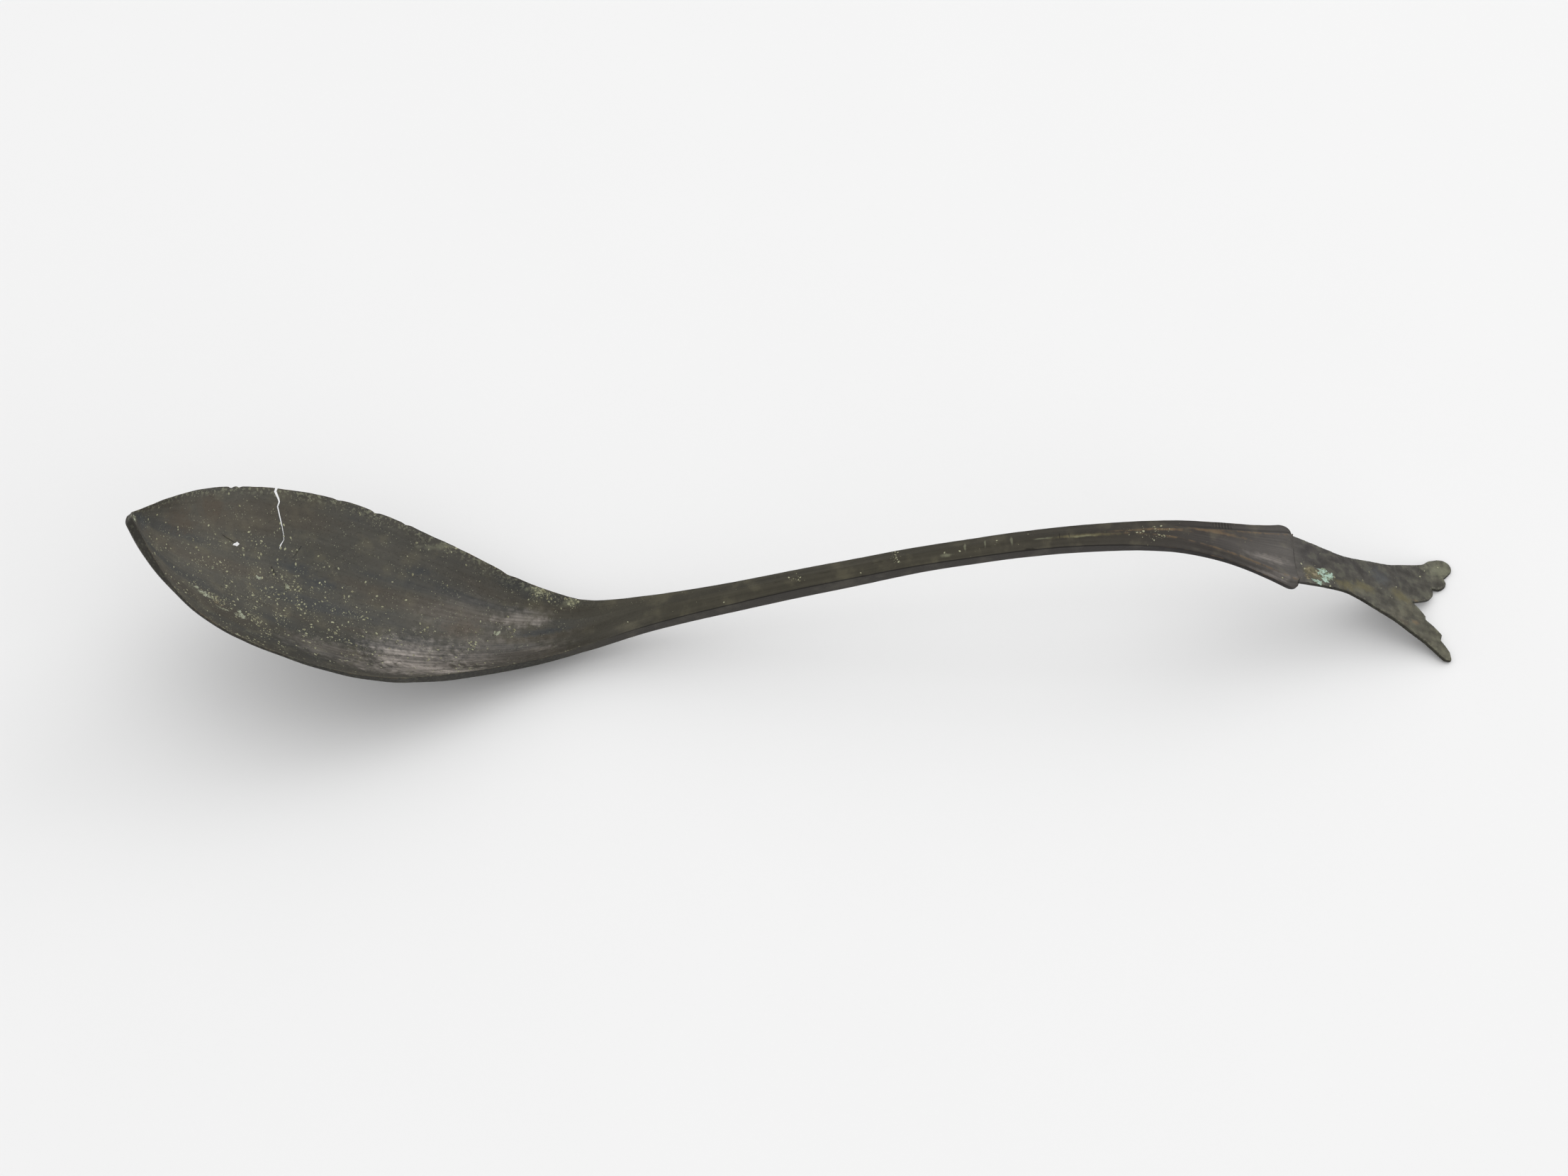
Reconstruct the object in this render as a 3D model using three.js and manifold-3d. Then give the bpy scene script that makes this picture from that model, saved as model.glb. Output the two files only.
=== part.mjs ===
// Cast bronze table spoon: a leaf-shaped dished bowl, a slender arched stem, a collar whose ridge
// splits towards two lips, and a forked tail plate. It stands on the underside of its bowl and on
// the ends of its tail.
// Millimetres. +X runs from the bowl to the tail, +Y across, +Z up, and the table is z = 0.

import * as THREE from 'three';
import { mergeVertices } from 'three/addons/utils/BufferGeometryUtils.js';
import Module from 'manifold-3d';

// Lengths along the spoon
const BOWL_LENGTH = 81.5;
const STEM_LENGTH = 104;
const COLLAR_LENGTH = 33.2;
const FORK_FROM_COLLAR = 24.5;
const NEAR_LOBE_LENGTH = 6.4;
const FAR_LOBE_LENGTH = 9.4;

// Heights
const TIP_RISE = 37.9;
const CREST_RISE = 21.7;
const CREST_FROM_NECK = 102;
const TAIL_END_HEIGHT = 0.6;
const BOWL_DEPTH = 10.6;
const DISH_RUNOUT = 20;
const REST_WEAR = 0.5;

// Half widths
const BOWL_HALF_WIDTH = 20.6;
const TIP_HALF_WIDTH = 0.6;
const NECK_HALF_WIDTH = 5.9;
const STEM_HALF_WIDTH = 2.25;
const LIP_HALF_WIDTH = 8.4;
const TAIL_ROOT_HALF_WIDTH = 5.7;
const WAIST_HALF_WIDTH = 4.4;
const NEAR_LOBE_SPREAD = 12.3;
const FAR_LOBE_SPREAD = 12.6;

// Lengths over which the stem's sides run out of the bowl and into the lips
const NECK_FLARE = 14.5;
const LIP_FLARE = 14.5;
const LIP_ROUNDING = 2.6;
const LOBE_CORNER = 1.2;

// The near lip stands this much wider than the middle line would have it, and the far one less wide
const LIP_LEAN = 0.35;

// Metal thicknesses
const TIP_EDGE = 2.05;
const RIM_EDGE = 0.8;
const BROAD_EDGE = 1.75;
const SHOULDER_EDGE = 3.0;
const STEM_EDGE = 2.35;
const ARCH_EDGE = 3.0;
const LIP_EDGE = 1.0;
const BOWL_WALL = 1.15;
const STEM_MIDDLE = 3.0;
const COLLAR_MIDDLE = 1.5;
const TAIL_THICKNESS = 0.75;

// Ridge of the stem, and the two ridges and flutes of the collar
const RIDGE_HEIGHT = 0.5;
const CREST_HALF_WIDTH = 0.3;
const RIDGE_END_Y = 5.6;
const FLUTE_DEPTH = 0.45;
const FIELD_DIP = 0.45;
const LIP_LIFT = 0.5;

// Curvature of the dish across the bowl, and of the ridges in plan
const DISH_POWER = 2.2;
const DISH_LINE_SHARE = 0.45;
const RIDGE_SPREAD_POWER = 1.6;

// Fineness of the surfaces
const BOWL_STEPS = 34;
const STEM_STEPS = 24;
const COLLAR_STEPS = 18;
const TAIL_STEPS = 18;
const SHEET_LINES = 8;
const SHEET_MARGIN = 2;
const REST_STEPS = 200;
const SLOPE_STEP = 0.5;
const TIP_CROWDING = 1.6;
const LINES_TO_RIDGE = [0, 0.35, 0.7, 1];
const LINES_TO_EDGE = [0.15, 0.4, 0.65, 0.85, 1];

// Places along X, measured from the tip of the bowl
const neckX = BOWL_LENGTH;
const dishEndX = neckX + DISH_RUNOUT;
const splitX = neckX + STEM_LENGTH;
const crestX = neckX + CREST_FROM_NECK;
const lipX = splitX + COLLAR_LENGTH;
const forkX = lipX + FORK_FROM_COLLAR;
const tailEndX = forkX + FAR_LOBE_LENGTH;

// Smooth curve through [x, value] points that never swings past them
function curveThrough(points) {
  const rise = (i) => (points[i + 1][1] - points[i][1]) / (points[i + 1][0] - points[i][0]);
  const slopes = points.map((point, i) => {
    if (i === 0) return rise(0);
    if (i === points.length - 1) return rise(i - 1);
    const before = rise(i - 1);
    const after = rise(i);
    return before * after > 0 ? (2 * before * after) / (before + after) : 0;
  });
  return (x) => {
    const last = points.length - 2;
    let i = 0;
    while (i < last && x > points[i + 1][0]) i += 1;
    const width = points[i + 1][0] - points[i][0];
    const t = THREE.MathUtils.clamp((x - points[i][0]) / width, 0, 1);
    const start = points[i][1] + slopes[i] * width * t;
    const end = points[i + 1][1] - slopes[i + 1] * width * (1 - t);
    return THREE.MathUtils.lerp(start, end, t * t * (3 - 2 * t));
  };
}

const smoothstep = THREE.MathUtils.smoothstep;
const between = (from, to, share) => from + (to - from) * share;

// Side view of the rim and of the stem's edges: share of the length, share of the rise
const BOWL_LINE = [[0, 1], [0.026, 0.93], [0.05, 0.864], [0.09, 0.782], [0.166, 0.682],
  [0.313, 0.53], [0.46, 0.381], [0.608, 0.235], [0.755, 0.12], [0.83, 0.062], [0.903, 0.02]];
const STEM_LINE = [[0, 0], [0.04, 0.031], [0.1, 0.108], [0.275, 0.331], [0.51, 0.633],
  [0.745, 0.875], [0.863, 0.96], [0.92, 0.987], [1, 1]];
const TAIL_LINE = [[0.145, 0.02], [0.232, 0.067], [0.319, 0.136], [0.406, 0.227], [0.493, 0.318],
  [0.58, 0.423], [0.667, 0.541], [0.754, 0.682], [0.841, 0.828], [0.884, 0.902], [0.915, 0.952],
  [0.94, 0.99], [1, 1]];

function sideLineAt(neckHeight) {
  const crestHeight = neckHeight + CREST_RISE;
  return curveThrough([
    ...BOWL_LINE.map(([along, up]) => [along * neckX, neckHeight + up * TIP_RISE]),
    ...STEM_LINE.map(([along, up]) => [between(neckX, crestX, along), neckHeight + up * CREST_RISE]),
    ...TAIL_LINE.map(([along, down]) => [between(crestX, tailEndX, along),
      between(crestHeight, TAIL_END_HEIGHT, down)]),
  ]);
}

// Outline of the bowl from above: share of the length, share of the half width
const bowlOutline = curveThrough([
  [0, TIP_HALF_WIDTH],
  ...[[0.025, 0.18], [0.056, 0.375], [0.092, 0.545], [0.166, 0.767], [0.24, 0.885], [0.313, 0.953],
    [0.44, 1], [0.54, 0.958], [0.65, 0.835], [0.757, 0.675], [0.867, 0.487], [0.94, 0.376],
  ].map(([along, half]) => [along * neckX, half * BOWL_HALF_WIDTH]),
  [neckX, NECK_HALF_WIDTH],
]);

function halfWidth(x) {
  if (x < neckX) return bowlOutline(x);
  const neckFlare = (NECK_HALF_WIDTH - STEM_HALF_WIDTH) * Math.exp((neckX - x) / NECK_FLARE);
  const lipFlare = (LIP_HALF_WIDTH - STEM_HALF_WIDTH) * Math.exp((x - lipX) / LIP_FLARE);
  const rounding = Math.max(0, (x - lipX + LIP_ROUNDING) / LIP_ROUNDING);
  const corner = (1 - Math.sqrt(1 - Math.min(1, rounding * rounding))) * LIP_ROUNDING;
  return STEM_HALF_WIDTH + neckFlare + lipFlare - corner;
}

// Depth of the dish below the rim: share of its length, share of its depth
const dishDepth = curveThrough([[0, 0], [0.015, 0.12], [0.054, 0.32], [0.132, 0.6], [0.254, 0.86],
  [0.37, 0.97], [0.446, 1], [0.55, 0.97], [0.61, 0.9], [0.67, 0.76], [0.727, 0.55], [0.785, 0.34],
  [0.844, 0.17], [0.92, 0.05], [1, 0]].map(([along, down]) => [along * dishEndX, down * BOWL_DEPTH]));

// Height of the metal at the edges, along the spoon
const edgeHeight = curveThrough([
  [0, TIP_EDGE], [0.03 * neckX, TIP_EDGE], [0.11 * neckX, RIM_EDGE], [0.25 * neckX, RIM_EDGE],
  [0.55 * neckX, BROAD_EDGE], [0.78 * neckX, SHOULDER_EDGE], [neckX, STEM_EDGE],
  [neckX + 0.45 * STEM_LENGTH, ARCH_EDGE], [neckX + 0.7 * STEM_LENGTH, STEM_EDGE],
  [neckX + 0.9 * STEM_LENGTH, STEM_EDGE], [lipX - 0.2 * COLLAR_LENGTH, LIP_EDGE], [lipX, LIP_EDGE],
]);

// Height of the metal along the middle
const middleHeight = curveThrough([
  [0, TIP_EDGE], [0.12 * neckX, BOWL_WALL], [0.65 * neckX, BOWL_WALL], [dishEndX, STEM_MIDDLE],
  [crestX - 0.25 * CREST_FROM_NECK, STEM_MIDDLE], [lipX, COLLAR_MIDDLE],
]);

// Distance of the ridges from the middle; in the bowl these lines only carry the dish
function ridgeY(x) {
  const spread = Math.max(0, (x - splitX) / COLLAR_LENGTH) ** RIDGE_SPREAD_POWER;
  const ridges = between(CREST_HALF_WIDTH, RIDGE_END_Y, spread);
  const inBowl = 1 - smoothstep(x, neckX - 0.5 * DISH_RUNOUT, dishEndX);
  return between(ridges, DISH_LINE_SHARE * halfWidth(x), inBowl);
}

// How far the middle of a section lies to the near side
const lean = (x) => LIP_LEAN * smoothstep(x, splitX, lipX);

// How far the collar has grown out of the stem, from 0 to 1
const inCollar = (x) => smoothstep(x, splitX, lipX - 0.25 * COLLAR_LENGTH);

// The dish falls from the edges to the middle, and the collar's lips rise to their edges
function curl(x, y) {
  const outward = Math.min(1, Math.abs(y / halfWidth(x)));
  return LIP_LIFT * inCollar(x) * outward ** 2 - dishDepth(x) * (1 - outward ** DISH_POWER);
}

// Height of the top surface above the side line
function topHeight(x, y) {
  const ridge = ridgeY(x);
  const ridgeTop = RIDGE_HEIGHT * smoothstep(x, neckX, dishEndX);
  if (Math.abs(y) < ridge) {
    return curl(x, y) + ridgeTop - FIELD_DIP * inCollar(x) * (1 - (y / ridge) ** 2);
  }
  const outward = (Math.abs(y) - ridge) / (halfWidth(x) - ridge);
  const flute = FLUTE_DEPTH * inCollar(x) * Math.sin(Math.PI * outward);
  return curl(x, y) + ridgeTop * (1 - outward) - flute;
}

function undersideHeight(x, y) {
  const inward = 1 - Math.min(1, Math.abs(y / halfWidth(x))) ** DISH_POWER;
  return curl(x, y) - between(edgeHeight(x), middleHeight(x), inward);
}

// The frame of a cross-section: it stands square to the side line
function frameAt(sideLine, x) {
  const slope = (sideLine(x + SLOPE_STEP) - sideLine(x - SLOPE_STEP)) / (2 * SLOPE_STEP);
  const tilt = Math.atan(slope);
  return (y, up) => new THREE.Vector3(
    x - up * Math.sin(tilt),
    y,
    Math.max(0, sideLine(x) + up * Math.cos(tilt)),
  );
}

// Where the lines of the skin cross a section, from the far edge to the near one
function acrossLines(x) {
  const ridge = ridgeY(x);
  const half = halfWidth(x);
  const inner = LINES_TO_RIDGE.map((share) => share * ridge);
  const outer = LINES_TO_EDGE.map((share) => between(ridge, half, share));
  const side = [...inner, ...outer];
  return [...side.slice(1).reverse(), ...side.map((y) => -y)];
}

// One ring: the top from far to near, then the underside back again, drawn in a little at the edge
function ringAt(sideLine, x) {
  const place = frameAt(sideLine, x);
  const lines = acrossLines(x);
  const drawnIn = 1 - Math.min(0.1, (0.15 * edgeHeight(x)) / halfWidth(x));
  const top = lines.map((y) => place(y - lean(x), topHeight(x, y)));
  const under = lines.map((y) => place(y * drawnIn - lean(x), undersideHeight(x, y)));
  return [...top, ...under.reverse()];
}

// A closed skin over a row of rings, its two ends filled between top and underside
function skinOver(rings) {
  const count = rings[0].length;
  const positions = rings.flat().flatMap((point) => point.toArray());
  const faces = [];
  for (let r = 0; r < rings.length - 1; r += 1) {
    for (let k = 0; k < count; k += 1) {
      const a = r * count + k;
      const b = r * count + ((k + 1) % count);
      faces.push(a, b, a + count, b, b + count, a + count);
    }
  }
  const last = (rings.length - 1) * count;
  for (let k = 0; k < count / 2 - 1; k += 1) {
    const under = count - 1 - k;
    faces.push(k, under, k + 1, k + 1, under, under - 1);
    faces.push(last + k, last + k + 1, last + under, last + k + 1, last + under - 1, last + under);
  }
  const geometry = new THREE.BufferGeometry();
  geometry.setAttribute('position', new THREE.Float32BufferAttribute(positions, 3));
  geometry.setIndex(faces);
  return geometry;
}

const stations = (from, to, steps, spacing = (share) => share) =>
  Array.from({ length: steps + 1 }, (unused, i) => between(from, to, spacing(i / steps)));

// The bowl's underside decides how high the spoon stands: its lowest point is worn flat on the table
function standingHeight() {
  const clearOfTable = TIP_RISE + BOWL_DEPTH;
  const raisedLine = sideLineAt(clearOfTable);
  const heights = stations(0, dishEndX, REST_STEPS)
    .map((x) => frameAt(raisedLine, x)(0, undersideHeight(x, 0)).z);
  return clearOfTable - Math.min(...heights) - REST_WEAR;
}

const sideLine = sideLineAt(standingHeight());

function loft(from, to, steps, spacing) {
  return skinOver(stations(from, to, steps, spacing).map((x) => ringAt(sideLine, x)));
}

// Tail plate: a bent sheet trimmed to the forked outline
function tailSheet() {
  const halfSheet = Math.max(NEAR_LOBE_SPREAD, FAR_LOBE_SPREAD) + SHEET_MARGIN;
  const lines = stations(halfSheet, -halfSheet, SHEET_LINES);
  const fieldHeight = RIDGE_HEIGHT - FIELD_DIP;
  const rings = stations(lipX, tailEndX + SHEET_MARGIN, TAIL_STEPS).map((x) => {
    const place = frameAt(sideLine, x);
    const top = lines.map((y) => place(y, fieldHeight));
    const under = lines.map((y) => place(y, fieldHeight - TAIL_THICKNESS));
    return [...top, ...under.reverse()];
  });
  return skinOver(rings);
}

// Outline of the tail from above. The side points are shares of the way from the collar to the fork
// and half widths; the lobe points are shares of each lobe's length and spread.
function tailOutline() {
  const sideX = (share) => lipX + share * FORK_FROM_COLLAR;
  const waist = [[0.1, between(WAIST_HALF_WIDTH, TAIL_ROOT_HALF_WIDTH, 0.72)],
    [0.25, between(WAIST_HALF_WIDTH, TAIL_ROOT_HALF_WIDTH, 0.3)], [0.42, WAIST_HALF_WIDTH]];
  const flare = [[0.55, 0.08], [0.67, 0.2], [0.83, 0.36], [0.95, 0.56], [1.08, 0.78]];
  const side = (spread) => [
    ...waist.map(([along, half]) => [sideX(along), half]),
    ...flare.map(([along, out]) => [sideX(along), between(WAIST_HALF_WIDTH, spread - LOBE_CORNER, out)]),
  ];
  const point = (x, y) => new THREE.Vector2(x, y);
  const nearPoint = ([along, out]) => point(forkX + along * NEAR_LOBE_LENGTH, -out * NEAR_LOBE_SPREAD);
  const farPoint = ([along, out]) => point(forkX + along * FAR_LOBE_LENGTH, out * FAR_LOBE_SPREAD);
  const nearSide = side(NEAR_LOBE_SPREAD).map(([x, half]) => point(x, -half));
  const farSide = side(FAR_LOBE_SPREAD).map(([x, half]) => point(x, half)).reverse();

  const outline = new THREE.Shape();
  const behindRoot = lipX - SHEET_MARGIN;
  outline.moveTo(behindRoot, -TAIL_ROOT_HALF_WIDTH);
  outline.splineThru([...nearSide, ...[[0.66, 0.94], [0.8, 1]].map(nearPoint)]);
  outline.splineThru([[0.94, 1], [1, 0.97], [0.99, 0.83]].map(nearPoint));
  outline.splineThru([[0.88, 0.72], [0.76, 0.63]].map(nearPoint));
  outline.lineTo(...nearPoint([0.83, 0.51]).toArray());
  outline.splineThru([[0.61, 0.38], [0.37, 0.29]].map(nearPoint));
  outline.lineTo(...nearPoint([0.38, 0.22]).toArray());
  outline.splineThru([[0.2, 0.11], [0, 0.03]].map(nearPoint));
  outline.splineThru([[0.2, 0.06], [0.41, 0.16], [0.52, 0.28], [0.51, 0.4]].map(farPoint));
  outline.splineThru([[0.68, 0.41], [0.8, 0.47], [0.84, 0.54], [0.81, 0.63]].map(farPoint));
  outline.splineThru([[0.92, 0.71], [1, 0.79], [0.98, 0.9], [0.87, 0.98], [0.73, 1]].map(farPoint));
  outline.splineThru([...[[0.55, 0.95], [0.41, 0.86]].map(farPoint), ...farSide]);
  outline.lineTo(behindRoot, TAIL_ROOT_HALF_WIDTH);
  outline.closePath();
  return outline;
}

const wasm = await Module();
wasm.setup();

function solidOf(geometry) {
  const bare = geometry.clone();
  bare.deleteAttribute('normal');
  bare.deleteAttribute('uv');
  const merged = mergeVertices(bare, 1e-4);
  return new wasm.Manifold(new wasm.Mesh({
    numProp: 3,
    vertProperties: new Float32Array(merged.attributes.position.array),
    triVerts: new Uint32Array(merged.index.array),
  }));
}

function geometryOf(solid) {
  const mesh = solid.getMesh();
  const geometry = new THREE.BufferGeometry();
  geometry.setAttribute('position', new THREE.BufferAttribute(mesh.vertProperties, 3));
  geometry.setIndex(new THREE.BufferAttribute(mesh.triVerts, 1));
  return geometry;
}

function tail() {
  const crestHeight = sideLine(crestX);
  const trim = new THREE.ExtrudeGeometry(tailOutline(), {
    depth: 2 * crestHeight, bevelEnabled: false, curveSegments: 2,
  });
  trim.translate(0, 0, -0.5 * crestHeight);
  return geometryOf(solidOf(tailSheet()).intersect(solidOf(trim)));
}

// Dark bronze patina, a shade greener towards the tail
const bronze = (color, roughness) => new THREE.MeshStandardMaterial({ color, roughness, metalness: 0.6 });
const closeToTip = (share) => share ** TIP_CROWDING;
const closeToLip = (share) => Math.sin(0.5 * Math.PI * share);

const pieces = [
  ['bowl', loft(0, neckX, BOWL_STEPS, closeToTip), bronze(0x4c4942, 0.5)],
  ['stem', loft(neckX, splitX, STEM_STEPS), bronze(0x4d4839, 0.55)],
  ['collar', loft(splitX, lipX, COLLAR_STEPS, closeToLip), bronze(0x504a44, 0.5)],
  ['tail', tail(), bronze(0x4b4d41, 0.6)],
];

// The origin is under the middle of the whole spoon, on the table
const box = new THREE.Box3();
for (const [, geometry] of pieces) {
  geometry.computeBoundingBox();
  box.union(geometry.boundingBox);
}
const centre = box.getCenter(new THREE.Vector3());

const spoon = new THREE.Group();
for (const [name, geometry, material] of pieces) {
  geometry.translate(-centre.x, -centre.y, 0);
  const mesh = new THREE.Mesh(geometry, material);
  mesh.name = name;
  spoon.add(mesh);
}

export default spoon;
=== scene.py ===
# %% [markdown]
# A cast bronze table spoon, long buried and dark with age: a leaf-shaped bowl, an arched stem, a
# collar with two lips and a forked tail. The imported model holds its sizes. This scene gives each
# part its fine shape and its worn finish, on a white table in soft light.

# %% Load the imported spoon
import math

import bmesh
import bpy
import numpy as np
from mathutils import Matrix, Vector, geometry, noise


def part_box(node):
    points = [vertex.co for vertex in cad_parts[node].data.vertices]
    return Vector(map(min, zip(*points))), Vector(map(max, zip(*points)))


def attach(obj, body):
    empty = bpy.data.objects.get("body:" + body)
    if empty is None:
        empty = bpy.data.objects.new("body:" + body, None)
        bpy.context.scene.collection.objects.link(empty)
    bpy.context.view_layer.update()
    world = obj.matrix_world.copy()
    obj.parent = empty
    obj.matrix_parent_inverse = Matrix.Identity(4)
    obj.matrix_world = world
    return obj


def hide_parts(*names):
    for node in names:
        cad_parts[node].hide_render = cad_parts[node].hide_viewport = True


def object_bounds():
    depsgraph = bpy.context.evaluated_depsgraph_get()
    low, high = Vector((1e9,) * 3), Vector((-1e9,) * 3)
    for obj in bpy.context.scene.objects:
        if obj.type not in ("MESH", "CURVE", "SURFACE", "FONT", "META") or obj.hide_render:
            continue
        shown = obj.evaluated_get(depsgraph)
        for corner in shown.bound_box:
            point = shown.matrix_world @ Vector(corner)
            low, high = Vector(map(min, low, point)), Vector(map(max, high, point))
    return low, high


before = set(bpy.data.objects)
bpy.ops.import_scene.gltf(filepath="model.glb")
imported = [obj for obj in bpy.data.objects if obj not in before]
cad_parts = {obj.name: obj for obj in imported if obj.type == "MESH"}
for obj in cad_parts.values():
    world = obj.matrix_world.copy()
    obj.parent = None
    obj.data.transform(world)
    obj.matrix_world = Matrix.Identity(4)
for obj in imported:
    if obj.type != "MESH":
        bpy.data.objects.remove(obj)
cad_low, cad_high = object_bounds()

MM = 0.001
print("packed spoon in mm:", [round(size / MM, 1) for size in cad_high - cad_low])


def in_scene(name, data):
    """A new object of the scene that shows a mesh, a lamp or a camera."""
    made = bpy.data.objects.new(name, data)
    bpy.context.scene.collection.objects.link(made)
    return made



# %% [markdown]
# The camera and the light come first, because every later render is judged through them. The
# photograph looks down at about 52 degrees from in front of the spoon, with a long lens.

# %% Place the camera
CAMERA_TARGET = Vector((-4.05, 12.04, 0)) * MM
CAMERA_ELEVATION = math.radians(52)
CAMERA_HEADING = math.radians(2.6)
CAMERA_DISTANCE = 853.3 * MM
LENS_LENGTH = 100

looking = Vector((
    math.sin(CAMERA_HEADING) * math.cos(CAMERA_ELEVATION),
    math.cos(CAMERA_HEADING) * math.cos(CAMERA_ELEVATION),
    -math.sin(CAMERA_ELEVATION),
))
camera = in_scene("camera", bpy.data.cameras.new("camera"))
camera.data.lens = LENS_LENGTH
camera.data.clip_start = 0.01
camera.location = CAMERA_TARGET - looking * CAMERA_DISTANCE
camera.rotation_euler = looking.to_track_quat("-Z", "Y").to_euler()
bpy.context.scene.camera = camera
bpy.context.scene.view_settings.view_transform = "Standard"
print("camera stands at", [round(v / MM) for v in camera.location], "mm")

# %% [markdown]
# White walls give most of the light. A wide soft box hangs over the table, a second one stands
# behind it to the right and a weak one in front to the right. The box behind draws the faint shadow
# that falls to the near left of the raised bowl.

# %% Hang the soft boxes and set the world
WORLD_LEVEL = 0.92
SOFT_BOXES = {
    "overhead": (Vector((0.0, 0.1, 2.2)), 1.8, 5),
    "behind": (Vector((1.5, 1.1, 1.4)), 1.4, 7),
    "front fill": (Vector((1.5, -1.4, 0.8)), 1.6, 4),
}

world = bpy.data.worlds.new("studio")
bpy.context.scene.world = world
world.use_nodes = True
sky = world.node_tree.nodes["Background"].inputs
sky["Color"].default_value = (1, 1, 1, 1)
sky["Strength"].default_value = WORLD_LEVEL

for name, (place, size, power) in SOFT_BOXES.items():
    soft_box = in_scene(name, bpy.data.lights.new(name, "AREA"))
    soft_box.data.energy = power
    soft_box.data.size = size
    soft_box.location = place
    soft_box.rotation_euler = (-place).to_track_quat("-Z", "Y").to_euler()
    print(name, "soft box at", [round(v, 2) for v in place], "m")

# %% [markdown]
# Shader maths reads best as ordinary sums. A small class wraps a socket, and each operator adds
# the Math node that it stands for. Every other node comes from one method of the finish.


# %% Write shader maths as Python
def pick(sockets, key):
    """A socket by its number, or the one in use by its name."""
    if isinstance(key, int):
        return sockets[key]
    return next(socket for socket in sockets if socket.name == key and socket.enabled)


class Value:
    """A socket of a finish that can be added, multiplied and compared like a number."""

    def __init__(self, finish, socket):
        self.finish = finish
        self.socket = socket

    def math(self, operation, first, second):
        settings = {"operation": operation}
        return self.finish.node("Math", settings, {0: first, 1: second})

    def __add__(self, other):
        return self.math("ADD", self, other)

    __radd__ = __add__

    def __mul__(self, other):
        return self.math("MULTIPLY", self, other)

    __rmul__ = __mul__

    def __sub__(self, other):
        return self.math("SUBTRACT", self, other)

    def __rsub__(self, other):
        return self.math("SUBTRACT", other, self)

    def at_least(self, other):
        return self.math("MAXIMUM", self, other)

    def at_most(self, other):
        return self.math("MINIMUM", self, other)


class Finish:
    """A material whose nodes are added one by one, with places measured in millimetres."""

    def __init__(self, name):
        self.material = bpy.data.materials.new(name)
        self.material.use_nodes = True
        self.tree = self.material.node_tree
        self.shader = self.tree.nodes["Principled BSDF"]
        self.place = self.vector("SCALE", self.node("TexCoord", {}, {}, "Object"), scale=1 / MM)
        self.place_x = self.node("SeparateXYZ", {}, {"Vector": self.place}, "X")
        self.place_y = self.node("SeparateXYZ", {}, {"Vector": self.place}, "Y")
        self.wander = self.clouds(0.9, 4.0) - 0.5

    def node(self, kind, settings, inputs, output=0):
        node = self.tree.nodes.new("ShaderNode" + kind)
        for name, value in settings.items():
            if name == "stops":
                self.set_stops(node.color_ramp, value)
            else:
                setattr(node, name, value)
        for key, value in inputs.items():
            self.feed(pick(node.inputs, key), value)
        return Value(self, pick(node.outputs, output))

    @staticmethod
    def set_stops(ramp, stops):
        while len(ramp.elements) < len(stops):
            ramp.elements.new(0.5)
        for element, (position, color) in zip(ramp.elements, stops):
            element.position = position
            element.color = (*color, 1)

    def feed(self, socket, value):
        if isinstance(value, Value):
            self.tree.links.new(value.socket, socket)
        elif isinstance(value, tuple) and len(value) == 3 and socket.type == "RGBA":
            socket.default_value = (*value, 1)
        else:
            socket.default_value = value

    def vector(self, operation, first, second=None, scale=None):
        inputs = {0: first}
        if second is not None:
            inputs[1] = second
        if scale is not None:
            inputs["Scale"] = scale
        output = "Value" if operation == "LENGTH" else "Vector"
        return self.node("VectorMath", {"operation": operation}, inputs, output)

    def mix(self, share, first, second):
        inputs = {"Factor": share, "A": first, "B": second}
        return self.node("Mix", {"data_type": "RGBA"}, inputs, "Result")

    def ramp(self, value, low, high, bottom=0.0, top=1.0):
        settings = {"interpolation_type": "SMOOTHSTEP"}
        inputs = {"Value": value, "From Min": low, "From Max": high, "To Min": bottom, "To Max": top}
        return self.node("MapRange", settings, inputs, "Result")

    def clouds(self, per_mm, detail=3.0, stretch=(1, 1, 1), shift=0.0):
        place = self.vector("MULTIPLY", self.place, stretch)
        place = self.vector("ADD", place, (shift, shift, shift))
        return self.node("TexNoise", {}, {"Vector": place, "Scale": per_mm, "Detail": detail}, 0)

    def cells(self, per_mm):
        return self.node("TexVoronoi", {}, {"Vector": self.place, "Scale": per_mm}, "Distance")

    def strokes(self, per_half_width, detail, length, shift=0.0):
        """Noise drawn out into lines that follow the run of a casting."""
        across = self.painted("across") * per_half_width + shift
        place = self.node("CombineXYZ", {}, {"X": self.place_x * (1 / length), "Y": across}, "Vector")
        return self.node("TexNoise", {}, {"Vector": place, "Scale": 1.0, "Detail": detail}, 0)

    def near(self, place, length, width, softness=1.0):
        """1 at a place, falling to 0 at its reach along and across, with a ragged border."""
        offset = self.vector("SUBTRACT", self.place, tuple(place))
        share = self.vector("MULTIPLY", offset, (1 / length, 1 / width, 1 / length))
        ragged = self.vector("LENGTH", share) + 1.4 * self.wander
        return self.ramp(ragged, 1 - 0.5 * softness, 1.0, 1.0, 0.0)

    def painted(self, name):
        return self.node("Attribute", {"attribute_name": name}, {}, "Fac")

    def finish(self, color, roughness, metallic, height, depth):
        self.feed(self.shader.inputs["Base Color"], color)
        self.feed(self.shader.inputs["Roughness"], roughness)
        self.feed(self.shader.inputs["Metallic"], metallic)
        bump = self.node("Bump", {}, {"Height": height, "Distance": depth * MM}, "Normal")
        self.feed(self.shader.inputs["Normal"], bump)
        return self.material


# %% [markdown]
# The table is a seamless sheet of white paper. It is wide enough that its edge never shows, and its
# own colour, not extra light, makes it nearly white.

# %% Lay the white table
TABLE_HALF_SIZE = 3.0
PAPER_WHITE = (0.83, 0.83, 0.83)


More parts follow.
